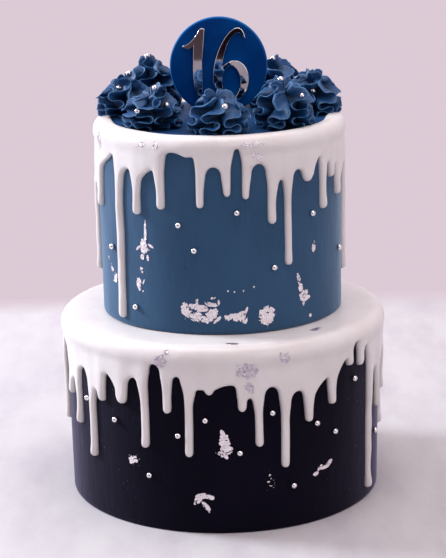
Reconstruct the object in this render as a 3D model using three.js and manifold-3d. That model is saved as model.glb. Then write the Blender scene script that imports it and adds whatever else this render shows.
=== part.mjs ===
// A two-tier drip cake: two iced tiers, pale ganache that runs over each rim in drips,
// eight piped swirls, silver pearls, silver leaf and a round topper with two numerals.
// Units are millimetres, +Z is up, the cake stands on z = 0 and its front faces -Y.
// A bearing is an angle in degrees round the cake: 0 at the front, 90 at +X.

import * as THREE from 'three';
import { mergeVertices } from 'three/addons/utils/BufferGeometryUtils.js';
import Module from 'manifold-3d';

const wasm = await Module();
wasm.setup();

// Driving sizes

const GAP = 0.35;                    // clearance between neighbouring pieces
const RIM_SIDES = 60;                // facets round a ganache rim
const TIER_SIDES = 60;               // facets round an iced tier

const LOWER_TIER = { foot: 0, top: 122.5, footRadius: 105, topRadius: 106.5 };
const UPPER_TIER = { foot: 125.35, top: 253, footRadius: 81, topRadius: 81 };

const LOWER_GANACHE = {
  top: 125,                          // upper face of the poured layer
  rimRadius: 110.8,                  // widest reach, where the layer turns over the edge
  rimRound: 6,                       // radius of that turn
  dripDepth: 3.3,                    // how far a drip stands off the icing
  ring: false,                       // the layer covers the whole tier
};
const UPPER_GANACHE = {
  top: 254.4,
  rimRadius: 84,
  rimRound: 3.8,
  dripDepth: 3.4,
  ring: true,                        // the layer is a ring round the swirls
};
const DRIP_WIDTH = 6.2;              // across a usual drip
const DRIP_EDGE = 2.8;               // a drip's side rounds over within this distance
const EDGE_SEARCH = 30;              // the edge is searched this far to each side of a point
const RIM_SWELL = 14;                // the layer changes over to the rim within this height
const ARCH_POWER = 2.4;              // squareness of the arches between drips
const ARCH_SPRING = 1.8;             // height of an arch's round head, as a share of its half width
const ARCH_BEND = 5.5;               // half width beyond which that head grows no higher
const ARCH_SIDE = 0.94;              // share of the half width where the head starts
const TONGUE_SHARES = [-1, -0.7, 0, 0.7, 1];                  // columns across a drip
const ARCH_SHARES = [-ARCH_SIDE, -0.55, 0.55, ARCH_SIDE];     // columns across an arch
const SIDE_ROWS = [0, 0.5, 1];       // rows from a drip's end up to the turn
const RIM_BEARINGS = Array.from({ length: RIM_SIDES }, (_, i) => 360 * i / RIM_SIDES - 180);

// Drips across the front: bearing, height of the tip above the tier's foot, then the bearing
// and height of the arch to the right of it. An optional fifth number is the drip's width.
const LOWER_FRONT_DRIPS = [
  [-87, 46, -81, 108], [-70, 74, -66, 87], [-62.7, 57, -57.3, 98], [-53, 39, -50, 87],
  [-47, 80, -43.5, 100], [-37.5, 82, -32, 101, 8], [-28.2, 55, -24.2, 112], [-19.7, 80, -15.8, 105],
  [-12.2, 52, -8.6, 98], [-5, 94, 2, 100, 7], [6, 82, 8.9, 91], [11.7, 58, 16.2, 97],
  [21, 42, 26, 92], [30, 70, 36.5, 97], [40, 78, 46, 106], [49, 100, 52.4, 115],
  [55.6, 97, 60, 109], [63, 7, 68, 90], [72, 60, 80, 98], [87, 63, 90.6, 95], [94, 33, 99, 96],
];
const UPPER_FRONT_DRIPS = [
  [-90, 25, -81, 87], [-72, 74, -60, 112], [-52.3, 4, -45, 104, 6.6], [-40.4, 75, -32.3, 105],
  [-27.3, 80, -17.4, 117], [-9, 82, -3, 108, 5.6], [3, 89, 7.6, 120, 5.2], [11.2, 87, 17.2, 109, 5.2],
  [23.3, 70, 28, 98], [31.3, 42, 36.9, 103, 5.6], [42.4, 94, 49.4, 109, 8], [53.3, 74, 57, 104, 6.6],
  [60.3, 93, 63.7, 101, 5.4], [67.7, 80, 77, 98], [90, 22, 95.5, 100],
];

// Drips round the back, drawn by a seeded rule within these limits
const LOWER_BACK_DRIPS = { from: 103, to: 268, count: 16, tips: [30, 92], arches: [88, 108], seed: 7 };
const UPPER_BACK_DRIPS = { from: 101, to: 268, count: 13, tips: [28, 92], arches: [98, 116], seed: 19 };
const BACK_RULE = {
  scatter: 0.2,                      // how far a drip strays from an even spacing, as a share of it
  longEvery: 3,                      // one drip in so many is long
  longReach: [0, 0.35],              // where a long drip's tip lies within the range of tips
  shortReach: [0.4, 1],
  archPlace: [0.45, 0.6],            // where the arch after a drip lies within the spacing
  widths: [0.88, 1.12],              // share of the usual width
};

// Inner edge of the upper ganache ring: bearing and radius, eased in between
const RING_EDGE = [
  [-180, 72], [-120, 70.5], [-80, 71], [-35, 71.5], [-5, 77], [12, 75.5], [33, 79], [55, 75], [80, 71.5],
  [130, 73],
];
const RING_LIP = { reach: 0.3, rise: 0.8 };    // the ring is this high this far in from its edge

const PEARL_RADIUS = 2;
const PEARL_SINK = 0.7;              // how deep a pearl is pressed into the icing

// Pearls on the sides of the tiers: bearing and height above the tier's foot
const LOWER_PEARLS = [
  [-56.5, 78], [-41, 70], [-27, 37], [-16, 66], [-6.5, 77], [5, 55], [16.3, 80], [24, 29],
  [33.3, 68], [41.5, 59], [52, 90], [71, 43],
];
const UPPER_PEARLS = [
  [-60, 50], [-43, 14], [-19, 71], [-12, 55], [7, 79], [24, 42], [45.5, 73], [71.5, 43],
];
const BACK_PEARLS = { count: 8, first: 98, spacing: 20, scatter: 0.5, heights: [42, 78], clearance: 8 };

const LEAF_DEPTH = 0.5;              // how far a flake of leaf stands off what it lies on
const LEAF_SINK = 1;
const LEAF_POINTS = 8;
const LEAF_NOTCH = [0.55, 0.9];      // reach of every second point of a flake's outline

// Flakes of leaf: bearing, height above the tier's foot, width, height and tilt in degrees
const LOWER_LEAF = [
  [0.3, 60, 6, 18, 8], [-7, 22, 12, 11, -20], [-34, 45, 6, 6, 0], [36, 38, 15, 4.5, 38],
];
const UPPER_LEAF = [
  [-36, 57, 8, 18, -6], [-61.5, 35, 6, 6, 30], [-13.5, 16, 14, 9, 12], [-5.5, 17, 8, 7, 0],
  [6.5, 12.5, 15, 6, 14], [20.5, 12, 11, 9, 0], [38, 30, 3.5, 10, -35], [40, 20, 8, 8, 20],
];
const LOWER_GANACHE_LEAF = [[7.5, 109, 8, 10, 0], [20.5, 115, 7, 5, 0], [-20.5, 114, 9, 5, -15]];
const UPPER_GANACHE_LEAF = [[14, 120, 9, 6, 0], [-35, 120, 5, 4, 0]];
const BACK_LEAF = { count: 3, first: 115, spacing: 50, scatter: 0.5, heights: [12, 28], clearance: 12 };
const BACK_FLAKE = { widths: [6, 13], slenderness: [0.5, 1], tilts: [-40, 40] };

const SEEDS = { lowerTier: 3, upperTier: 5, lowerGanache: 11, upperGanache: 13 };
const RANDOM_FACTOR = 1664525;
const RANDOM_STEP = 1013904223;
const RANDOM_RANGE = 2 ** 32;

const SWIRL_RADIUS = 17;
const SWIRL_LOBES = 8;
const SWIRL_FLARE = 0.13;            // how far a lobe's crest stands out, as a share of the radius
const SWIRL_LEAN = 8;                // degrees that the lobes turn from one row to the next
const SWIRL_START = 19;              // degrees that each swirl is turned from the one before
const LOBE_WAVE = [1, 0.2, -1];      // crest, flank and valley of a lobe
const SWIRL_COLUMNS = SWIRL_LOBES * LOBE_WAVE.length;
const SWIRL_PEARL_LIFT = 0.8;        // from the lobes' face to the middle of a pearl

// Piped swirls: name, x, y and height
const SWIRLS = [
  ['swirl_front', -0.5, -54, 27], ['swirl_front_left', -42, -32, 26], ['swirl_left', -62, 8, 30],
  ['swirl_back_left', -45, 44, 38], ['swirl_back', 0, 57, 31], ['swirl_back_right', 40, 43, 36],
  ['swirl_right', 63, 10, 30], ['swirl_front_right', 42, -37, 31],
];

// Rows of a swirl from its foot to its tip: share of the height, share of the radius, and how
// strong the lobes are there. Each of the three levels has a groove, a belly and a shoulder.
const SWIRL_ROWS = [
  [0, 0.86, 0.7], [0.16, 1, 1], [0.35, 0.93, 0.8],
  [0.4, 0.78, 0.5], [0.54, 0.86, 1], [0.68, 0.7, 0.8],
  [0.72, 0.54, 0.5], [0.82, 0.56, 1], [0.94, 0.32, 0.8],
];

// Pearls on the swirls: index of the swirl, bearing round it and the row that holds the pearl
const SWIRL_PEARLS = [
  [0, 20, 4], [1, -10, 7], [1, 35, 4], [1, -50, 1], [2, -20, 7], [2, 20, 4], [3, -30, 7], [4, 150, 4],
  [4, 200, 7], [5, -25, 7], [6, -40, 4], [6, 140, 4], [7, 0, 7], [7, 45, 4],
];

const TOPPER = { x: 0.5, y: 14, centreZ: 285.4, radius: 32.7, depth: 4.5, bevel: 0.7, sides: 40 };
const GROOVE_LENGTH = 14;            // where the disc is pressed into the upper tier
const NUMERAL_DEPTH = 1.6;
const NUMERAL_SEGMENTS = 5;          // straight pieces in each curve of a numeral's outline

// Small tools

function around(bearing, radius, z) {
  const angle = THREE.MathUtils.degToRad(bearing);
  return new THREE.Vector3(radius * Math.sin(angle), -radius * Math.cos(angle), z);
}

function arcDegrees(length, radius) {
  return THREE.MathUtils.radToDeg(length / radius);
}

function seededRandom(seed) {
  let state = seed;
  return () => {
    state = (state * RANDOM_FACTOR + RANDOM_STEP) % RANDOM_RANGE;
    return state / RANDOM_RANGE;
  };
}

function between([low, high], share) {
  return low + (high - low) * share;
}

function tierRadius(tier, z) {
  return THREE.MathUtils.mapLinear(z, tier.foot, tier.top, tier.footRadius, tier.topRadius);
}

// Surface builder: rings of points round the cake, stitched into closed skins

class Skin {
  constructor() {
    this.positions = [];
    this.triangles = [];
  }

  point(vector) {
    this.positions.push(vector.x, vector.y, vector.z);
    return this.positions.length / 3 - 1;
  }

  ring(bearings, place) {
    return bearings.map((bearing, i) => ({ bearing, id: this.point(place(bearing, i)) }));
  }

  // Joins two rings that may have different counts, walking round both by bearing
  stitch(lower, upper) {
    const bearingOf = (ring, i) => ring[i % ring.length].bearing + (i >= ring.length ? 360 : 0);
    const idOf = (ring, i) => ring[i % ring.length].id;
    let i = 0;
    let j = 0;
    while (i < lower.length || j < upper.length) {
      const stepLower = j === upper.length
        || (i < lower.length && bearingOf(lower, i + 1) <= bearingOf(upper, j + 1));
      if (stepLower) {
        this.triangles.push(idOf(lower, i), idOf(lower, i + 1), idOf(upper, j));
        i += 1;
      } else {
        this.triangles.push(idOf(lower, i), idOf(upper, j + 1), idOf(upper, j));
        j += 1;
      }
    }
  }

  // Closes a ring onto one point, seen from above when up is true
  close(ring, vector, up) {
    const centre = this.point(vector);
    ring.forEach(({ id }, i) => {
      const next = ring[(i + 1) % ring.length].id;
      this.triangles.push(...(up ? [id, next, centre] : [next, id, centre]));
    });
  }

  geometry() {
    const geometry = new THREE.BufferGeometry();
    geometry.setAttribute('position', new THREE.Float32BufferAttribute(this.positions, 3));
    geometry.setIndex(this.triangles);
    return geometry;
  }
}

// Joining and cutting

function toManifold(geometry) {
  const bare = geometry.clone();
  bare.deleteAttribute('normal');
  bare.deleteAttribute('uv');
  const merged = mergeVertices(bare);
  return new wasm.Manifold(new wasm.Mesh({
    numProp: 3,
    vertProperties: new Float32Array(merged.attributes.position.array),
    triVerts: new Uint32Array(merged.index.array),
  }));
}

function fromManifold(manifold) {
  const { vertProperties, triVerts } = manifold.getMesh();
  const geometry = new THREE.BufferGeometry();
  geometry.setAttribute('position', new THREE.Float32BufferAttribute(vertProperties, 3));
  geometry.setIndex(Array.from(triVerts));
  return geometry;
}

function fuse(base, toppings) {
  return fromManifold(toppings.reduce((body, piece) => body.add(toManifold(piece)), toManifold(base)));
}

function cut(base, tools) {
  return fromManifold(tools.reduce((body, tool) => body.subtract(toManifold(tool)), toManifold(base)));
}

// Drips

function readDrips(rows) {
  return rows.map(([bearing, tip, archBearing, archTop, width = DRIP_WIDTH]) => (
    { bearing, tip, archBearing, archTop, width }
  ));
}

function drawDrips({ from, to, count, tips, arches, seed }) {
  const random = seededRandom(seed);
  const step = (to - from) / count;
  return Array.from({ length: count }, (_, i) => {
    const bearing = from + step * (i + BACK_RULE.scatter * random());
    const reach = i % BACK_RULE.longEvery === 1 ? BACK_RULE.longReach : BACK_RULE.shortReach;
    return {
      bearing,
      tip: between(tips, between(reach, random())),
      archBearing: bearing + step * between(BACK_RULE.archPlace, random()),
      archTop: between(arches, random()),
      width: DRIP_WIDTH * between(BACK_RULE.widths, random()),
    };
  });
}

// The lower edge of a skin: a row of tongues and arches, from -180 to 180 degrees
class DripEdge {
  constructor(tier, front, back) {
    const drawn = drawDrips(back).map((drip) => (
      { ...drip, bearing: wrap(drip.bearing), archBearing: wrap(drip.archBearing) }
    ));
    this.radius = tier.topRadius;
    this.foot = tier.foot;
    this.drips = [...readDrips(front), ...drawn].sort((a, b) => a.bearing - b.bearing);
  }

  half(drip) {
    return arcDegrees(drip.width / 2, this.radius);
  }

  // The stretch from one drip's centre to the next, with all bearings unwrapped
  span(i) {
    const drip = this.drips[i];
    const next = this.drips[(i + 1) % this.drips.length];
    const turn = next.bearing < drip.bearing ? 360 : 0;
    const archTurn = drip.archBearing < drip.bearing ? 360 : 0;
    const nextBearing = next.bearing + turn;
    return {
      drip,
      next,
      nextBearing,
      left: drip.bearing + this.half(drip),
      peak: drip.archBearing + archTurn,
      right: nextBearing - this.half(next),
    };
  }

  tongue(drip, share) {
    return this.foot + drip.tip + drip.width / 2 * (1 - Math.sqrt(1 - share * share));
  }

  // An arch has nearly upright sides, then a round head
  arch({ drip, next, left, peak, right }, share) {
    const side = share < 0 ? drip : next;
    const reach = THREE.MathUtils.degToRad(share < 0 ? peak - left : right - peak) * this.radius;
    const root = this.tongue(side, 1);
    const depth = this.foot + drip.archTop - root;
    const head = Math.min(depth, ARCH_SPRING * Math.min(reach, ARCH_BEND));
    const outward = Math.min(Math.abs(share) / ARCH_SIDE, 1);
    const rise = (1 - outward ** ARCH_POWER) ** (1 / ARCH_POWER);
    const upright = Math.min((1 - Math.abs(share)) / (1 - ARCH_SIDE), 1);
    return root + (depth - head) * upright + head * rise;
  }

  // Columns of the skin: bearing and height of the edge, closer together where the edge is steep
  columns(tongueShares, archShares) {
    const columns = [];
    this.drips.forEach((_, i) => {
      const span = this.span(i);
      tongueShares.forEach((share) => {
        columns.push({
          bearing: span.drip.bearing + share * this.half(span.drip),
          low: this.tongue(span.drip, share),
        });
      });
      archShares.forEach((share) => {
        const reach = share < 0 ? span.peak - span.left : span.right - span.peak;
        columns.push({ bearing: span.peak + share * reach, low: this.arch(span, share) });
      });
    });
    return columns
      .map(({ bearing, low }) => ({ bearing: wrap(bearing), low }))
      .sort((a, b) => a.bearing - b.bearing);
  }

  // Bearings of both sides and the top of every arch
  archBearings() {
    return this.drips
      .flatMap((_, i) => {
        const { left, peak, right } = this.span(i);
        return [peak - ARCH_SIDE * (peak - left), peak, peak + ARCH_SIDE * (right - peak)];
      })
      .map(wrap)
      .sort((a, b) => a - b);
  }
}

function wrap(bearing) {
  return ((bearing + 180) % 360 + 360) % 360 - 180;
}

// Inner edge of the ganache ring at a bearing, eased between the listed places
function ringEdge(bearing) {
  const at = RING_EDGE.findLastIndex(([start]) => start <= wrap(bearing));
  const [start, startRadius] = RING_EDGE[at];
  const [end, endRadius] = RING_EDGE[at + 1] ?? [RING_EDGE[0][0] + 360, RING_EDGE[0][1]];
  const share = THREE.MathUtils.smoothstep(wrap(bearing), start, end);
  return THREE.MathUtils.lerp(startRadius, endRadius, share);
}

// Distance on the unrolled side from a point to the edge
function edgeDistance(columns, radius, bearing, z) {
  const point = new THREE.Vector2(0, z);
  let nearest = Infinity;
  columns.forEach((column, i) => {
    const next = columns[(i + 1) % columns.length];
    const ax = THREE.MathUtils.degToRad(wrap(column.bearing - bearing)) * radius;
    const bx = THREE.MathUtils.degToRad(wrap(next.bearing - bearing)) * radius;
    if (Math.abs(ax) < EDGE_SEARCH && Math.abs(bx) < EDGE_SEARCH) {
      const start = new THREE.Vector2(ax, column.low);
      const along = new THREE.Vector2(bx, next.low).sub(start);
      const toPoint = point.clone().sub(start);
      const share = THREE.MathUtils.clamp(toPoint.dot(along) / along.lengthSq(), 0, 1);
      nearest = Math.min(nearest, toPoint.distanceTo(along.multiplyScalar(share)));
    }
  });
  return nearest;
}

class DripSkin {
  constructor(tier, ganache, edge) {
    this.tier = tier;
    this.ganache = ganache;
    this.columns = edge.columns(TONGUE_SHARES, ARCH_SHARES);
    this.cornerBearings = edge.archBearings();
    this.turnStart = ganache.top - ganache.rimRound;
  }

  // Radius of the outer face where the edge is a given distance away
  radius(z, distance) {
    const { dripDepth, rimRadius } = this.ganache;
    const open = 1 - Math.min(distance / DRIP_EDGE, 1);
    const side = tierRadius(this.tier, z) + GAP + dripDepth * Math.sqrt(1 - open * open);
    const swell = THREE.MathUtils.smoothstep(z, this.turnStart - RIM_SWELL, this.turnStart);
    return THREE.MathUtils.lerp(side, rimRadius, swell);
  }

  // Rings up the side: the edge, a ring just above it, one half way and one at the turn
  sideRings(skin) {
    const bearings = this.columns.map(({ bearing }) => bearing);
    const edge = skin.ring(bearings, (bearing, i) => {
      const { low } = this.columns[i];
      return around(bearing, tierRadius(this.tier, low) + GAP, low);
    });
    const rows = SIDE_ROWS.map((share) => skin.ring(bearings, (bearing, i) => {
      const start = this.columns[i].low + DRIP_EDGE / 2;
      const z = THREE.MathUtils.lerp(start, this.turnStart, share);
      const distance = edgeDistance(this.columns, this.tier.topRadius, bearing, z);
      return around(bearing, this.radius(z, distance), z);
    }));
    return [edge, ...rows];
  }

  // Rings over the turn and, for a layer that is a ring, down to its wavy inner edge
  topRings(skin) {
    const { top, rimRadius, rimRound, ring } = this.ganache;
    const slope = Math.SQRT1_2 * rimRound;
    const crest = rimRadius - rimRound;
    const foot = this.tier.top + GAP;
    const turn = skin.ring(RIM_BEARINGS, (bearing) => around(bearing, crest + slope, this.turnStart + slope));
    const flat = skin.ring(RIM_BEARINGS, (bearing) => around(bearing, crest, top));
    if (!ring) {
      return [turn, flat];
    }
    const lip = skin.ring(RIM_BEARINGS, (bearing) => {
      const radius = THREE.MathUtils.lerp(ringEdge(bearing), crest, RING_LIP.reach);
      return around(bearing, radius, THREE.MathUtils.lerp(foot, top, RING_LIP.rise));
    });
    const inner = skin.ring(RIM_BEARINGS, (bearing) => around(bearing, ringEdge(bearing), foot));
    return [turn, flat, lip, inner];
  }

  geometry() {
    const skin = new Skin();
    const side = this.sideRings(skin);
    const top = this.topRings(skin);
    const corner = skin.ring(this.cornerBearings, (bearing) => (
      around(bearing, this.tier.topRadius + GAP, this.tier.top + GAP)
    ));
    const outside = [...side, ...top];
    outside.slice(1).forEach((ring, i) => skin.stitch(outside[i], ring));
    if (!this.ganache.ring) {
      skin.close(top.at(-1), new THREE.Vector3(0, 0, this.ganache.top), true);
      skin.close(corner, new THREE.Vector3(0, 0, this.tier.top + GAP), false);
    } else {
      skin.stitch(top.at(-1), corner);
    }
    skin.stitch(corner, side[0]);
    return skin.geometry();
  }
}

// Leaf and pearls

// A thin flake with a ragged outline, wrapped on a surface whose radius depends on z
function leafFlake([bearing, z, width, height, tilt], radiusAt, random) {
  const skin = new Skin();
  const turn = THREE.MathUtils.degToRad(tilt);
  const outline = Array.from({ length: LEAF_POINTS }, (_, i) => {
    const angle = 2 * Math.PI * i / LEAF_POINTS;
    const reach = i % 2 === 0 ? 1 : between(LEAF_NOTCH, random());
    return new THREE.Vector2(width / 2 * Math.cos(angle), height / 2 * Math.sin(angle))
      .multiplyScalar(reach)
      .rotateAround(new THREE.Vector2(), turn);
  });
  const place = (flat, lift) => {
    const radius = radiusAt(z + flat.y) + lift;
    return around(bearing + arcDegrees(flat.x, radius), radius, z + flat.y);
  };
  const steps = outline.map((_, i) => 360 * i / LEAF_POINTS);
  const front = skin.ring(steps, (_, i) => place(outline[i], LEAF_DEPTH));
  const back = skin.ring(steps, (_, i) => place(outline[i], -LEAF_SINK));
  const middle = new THREE.Vector2();
  skin.close(front, place(middle, LEAF_DEPTH), true);
  skin.close(back, place(middle, -LEAF_SINK), false);
  skin.stitch(back, front);
  return skin.geometry();
}

function pearl(position) {
  return new THREE.IcosahedronGeometry(PEARL_RADIUS)
    .translate(position.x, position.y, position.z);
}

function sidePearl(tier, bearing, height) {
  const z = tier.foot + height;
  return pearl(around(bearing, tierRadius(tier, z) + PEARL_RADIUS - PEARL_SINK, z));
}

// Places round the back of a tier, kept clear below the drips
function backPlaces(edge, { count, first, spacing, scatter, heights, clearance }, random) {
  const columns = edge.columns(TONGUE_SHARES, ARCH_SHARES);
  const reach = arcDegrees(clearance, edge.radius);
  return Array.from({ length: count }, (_, i) => {
    const bearing = first + spacing * (i + scatter * random());
    const near = columns.filter((column) => Math.abs(wrap(column.bearing - bearing)) < reach);
    const ceiling = Math.min(...near.map(({ low }) => low)) - edge.foot - clearance;
    return [bearing, Math.min(between(heights, random()), ceiling)];
  });
}

// Tiers

function tierBody({ foot, top, footRadius, topRadius }) {
  const profile = [[0, foot], [footRadius, foot], [topRadius, top], [0, top]]
    .map(([radius, z]) => new THREE.Vector2(radius, z));
  return new THREE.LatheGeometry(profile, TIER_SIDES).rotateX(Math.PI / 2);
}

function decoratedTier(tier, edge, pearls, leaf, seed) {
  const random = seededRandom(seed);
  const radiusAt = (z) => tierRadius(tier, z);
  const backPearls = backPlaces(edge, BACK_PEARLS, random);
  const backLeaf = backPlaces(edge, BACK_LEAF, random).map((place) => {
    const width = between(BACK_FLAKE.widths, random());
    const height = width * between(BACK_FLAKE.slenderness, random());
    return [...place, width, height, between(BACK_FLAKE.tilts, random())];
  });
  const flakes = [...leaf, ...backLeaf].map(([bearing, height, ...size]) => (
    leafFlake([bearing, tier.foot + height, ...size], radiusAt, random)
  ));
  const spheres = [...pearls, ...backPearls].map(([bearing, height]) => sidePearl(tier, bearing, height));
  return fuse(tierBody(tier), [...flakes, ...spheres]);
}

function decoratedSkin(tier, ganache, edge, leaf, seed) {
  const random = seededRandom(seed);
  const skin = new DripSkin(tier, ganache, edge);
  const flakes = leaf.map(([bearing, height, ...size]) => (
    leafFlake([bearing, tier.foot + height, ...size], (z) => skin.radius(z, Infinity), random)
  ));
  return fuse(skin.geometry(), flakes);
}

// Swirls

class Swirl {
  constructor([name, x, y, height], index) {
    this.name = name;
    this.middle = new THREE.Vector3(x, y, 0);
    this.height = height;
    this.start = SWIRL_START * index;
    this.foot = UPPER_TIER.top + GAP;
  }

  // A point on a row, at a bearing counted from the row's first lobe
  point(row, bearing, wave, lift = 0) {
    const [rise, spread, flare] = SWIRL_ROWS[row];
    const radius = SWIRL_RADIUS * spread * (1 + SWIRL_FLARE * flare * wave) + lift;
    const turn = this.start + SWIRL_LEAN * row;
    return around(bearing + turn, radius, this.foot + this.height * rise).add(this.middle);
  }

  axisPoint(rise) {
    return this.middle.clone().setZ(this.foot + this.height * rise);
  }

  geometry() {
    const skin = new Skin();
    const bearings = Array.from({ length: SWIRL_COLUMNS }, (_, i) => 360 * i / SWIRL_COLUMNS);
    const rings = SWIRL_ROWS.map((_, row) => (
      skin.ring(bearings, (bearing, i) => this.point(row, bearing, LOBE_WAVE[i % LOBE_WAVE.length]))
    ));
    skin.close(rings[0], this.axisPoint(0), false);
    rings.slice(1).forEach((ring, i) => skin.stitch(rings[i], ring));
    skin.close(rings.at(-1), this.axisPoint(1), true);
    return skin.geometry();
  }

  // A pearl pressed into a row's face at a bearing round the swirl
  pearl(bearing, row) {
    const local = bearing - this.start - SWIRL_LEAN * row;
    const column = ((local % 360 + 360) % 360) / 360 * SWIRL_COLUMNS;
    const step = Math.floor(column);
    const wave = THREE.MathUtils.lerp(
      LOBE_WAVE[step % LOBE_WAVE.length],
      LOBE_WAVE[(step + 1) % LOBE_WAVE.length],
      column - step,
    );
    return pearl(this.point(row, local, wave, SWIRL_PEARL_LIFT));
  }
}

// The space that the ganache ring takes on top of the upper tier
function ringSpace() {
  const { top, rimRadius } = UPPER_GANACHE;
  const skin = new Skin();
  const inner = (bearing) => ringEdge(bearing) - GAP;
  const outer = () => rimRadius + GAP;
  const corners = [[inner, UPPER_TIER.top], [outer, UPPER_TIER.top], [outer, top + GAP], [inner, top + GAP]];
  const rings = corners.map(([radius, z]) => (
    skin.ring(RIM_BEARINGS, (bearing) => around(bearing, radius(bearing), z))
  ));
  rings.forEach((ring, i) => skin.stitch(ring, rings[(i + 1) % rings.length]));
  return skin.geometry();
}

function swirlGeometry(swirl, index) {
  const pearls = SWIRL_PEARLS
    .filter(([owner]) => owner === index)
    .map(([, bearing, row]) => swirl.pearl(bearing, row));
  return cut(fuse(swirl.geometry(), pearls), [ringSpace()]);
}

// Topper

function topperDisc() {
  const { radius, depth, bevel, sides } = TOPPER;
  const face = depth / 2;
  const profile = [
    [0, -face], [radius - bevel, -face], [radius, bevel - face],
    [radius, face - bevel], [radius - bevel, face], [0, face],
  ].map(([reach, y]) => new THREE.Vector2(reach, y));
  return new THREE.LatheGeometry(profile, sides);
}

function topperGroove() {
  const { x, y, centreZ, radius, depth } = TOPPER;
  const low = centreZ - radius - GAP;
  const height = 2 * (UPPER_TIER.top - low);
  return new THREE.BoxGeometry(GROOVE_LENGTH, depth + 2 * GAP, height).translate(x, y, UPPER_TIER.top);
}

function numeralOne() {
  const shape = new THREE.Shape();
  shape.moveTo(-9, 25);
  shape.quadraticCurveTo(-12, 26, -13, 24);
  shape.quadraticCurveTo(-17, 16, -23.5, 13.6);
  shape.quadraticCurveTo(-20.5, 9.5, -16.6, 13.9);
  shape.lineTo(-17.2, -2);
  shape.quadraticCurveTo(-17, -17, -13.4, -23);
  shape.quadraticCurveTo(-11, -21, -11, -16);
  shape.lineTo(-11, 3);
  return shape;
}

function numeralSix() {
  const shape = new THREE.Shape();
  shape.moveTo(18, 18.8);
  shape.bezierCurveTo(17.2, 23, 15.6, 25.4, 13, 25.4);
  shape.bezierCurveTo(6, 25.4, -4, 8, -4, -9);
  shape.bezierCurveTo(-4, -18, 1, -24.5, 8, -24.5);
  shape.bezierCurveTo(15, -24.5, 20, -17, 20, -9);
  shape.bezierCurveTo(20, -1.5, 16, 3.6, 10.7, 3.6);
  shape.bezierCurveTo(7, 3.6, 3.8, 1.4, 2, -1.4);
  shape.bezierCurveTo(3, 8, 7.5, 22, 13.5, 22);
  shape.bezierCurveTo(15.3, 22, 16.5, 20.5, 17.2, 18.6);
  const bowl = new THREE.Path();
  bowl.absellipse(8.3, -10.6, 6.1, 10.6, 0, 2 * Math.PI, true);
  shape.holes.push(bowl);
  return shape;
}

function numeral(shape) {
  return new THREE.ExtrudeGeometry(shape, {
    depth: NUMERAL_DEPTH,
    bevelEnabled: false,
    curveSegments: NUMERAL_SEGMENTS,
  });
}

// Finishes

const finishes = {
  navyIcing: new THREE.MeshStandardMaterial({ color: 0x14121f, roughness: 0.75, metalness: 0 }),
  slateIcing: new THREE.MeshStandardMaterial({ color: 0x2c4868, roughness: 0.75, metalness: 0 }),
  ganache: new THREE.MeshStandardMaterial({ color: 0xe8e0dc, roughness: 0.35, metalness: 0 }),
  pipedCream: new THREE.MeshStandardMaterial({ color: 0x223f5f, roughness: 0.7, metalness: 0 }),
  blueAcrylic: new THREE.MeshStandardMaterial({ color: 0x062a5e, roughness: 0.3, metalness: 0 }),
  mirrorSilver: new THREE.MeshStandardMaterial({ color: 0xc8c8cc, roughness: 0.08, metalness: 1 }),
};

function named(name, geometry, material) {
  const mesh = new THREE.Mesh(geometry, material);
  mesh.name = name;
  return mesh;
}

// Assembly

function buildTiers() {
  const lowerEdge = new DripEdge(LOWER_TIER, LOWER_FRONT_DRIPS, LOWER_BACK_DRIPS);
  const upperEdge = new DripEdge(UPPER_TIER, UPPER_FRONT_DRIPS, UPPER_BACK_DRIPS);
  const lowerBody = decoratedTier(LOWER_TIER, lowerEdge, LOWER_PEARLS, LOWER_LEAF, SEEDS.lowerTier);
  const upperBody = decoratedTier(UPPER_TIER, upperEdge, UPPER_PEARLS, UPPER_LEAF, SEEDS.upperTier);
  const lowerSkin = decoratedSkin(
    LOWER_TIER, LOWER_GANACHE, lowerEdge, LOWER_GANACHE_LEAF, SEEDS.lowerGanache,
  );
  const upperSkin = decoratedSkin(
    UPPER_TIER, UPPER_GANACHE, upperEdge, UPPER_GANACHE_LEAF, SEEDS.upperGanache,
  );
  return [
    named('lower_tier', lowerBody, finishes.navyIcing),
    named('lower_ganache', lowerSkin, finishes.ganache),
    named('upper_tier', cut(upperBody, [topperGroove()]), finishes.slateIcing),
    named('upper_ganache', upperSkin, finishes.ganache),
  ];
}

function buildSwirls() {
  return SWIRLS.map((sizes, index) => {
    const swirl = new Swirl(sizes, index);
    return named(swirl.name, swirlGeometry(swirl, index), finishes.pipedCream);
  });
}

function buildTopper() {
  const { x, y, centreZ, depth } = TOPPER;
  const disc = named('topper_disc', topperDisc(), finishes.blueAcrylic);
  const one = named('topper_numeral_one', numeral(numeralOne()), finishes.mirrorSilver);
  const six = named('topper_numeral_six', numeral(numeralSix()), finishes.mirrorSilver);
  one.rotation.x = Math.PI / 2;
  six.rotation.x = Math.PI / 2;
  one.position.y = -depth / 2 - GAP;
  six.position.y = -depth / 2 - GAP;
  const topper = new THREE.Group();
  topper.add(disc, one, six);
  topper.position.set(x, y, centreZ);
  return topper;
}

const cake = new THREE.Group();
cake.add(...buildTiers(), ...buildSwirls(), buildTopper());

export default cake;
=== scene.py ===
"""Looks of a two-tier drip cake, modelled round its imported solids.

The cake stands on z = 0 with its front towards -Y. A bearing is an angle in degrees round the
cake, 0 at the front and 90 at +X. Sizes of the cake are written in millimetres, and every mesh
is turned into metres as it is made.
"""
import logging
import math
from collections.abc import Sequence
from dataclasses import dataclass, field, replace

import bmesh
import bpy
import numpy as np
from mathutils import Matrix, Vector, noise
from mathutils.bvhtree import BVHTree
from mathutils.geometry import delaunay_2d_cdt
from mathutils.kdtree import KDTree


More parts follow.
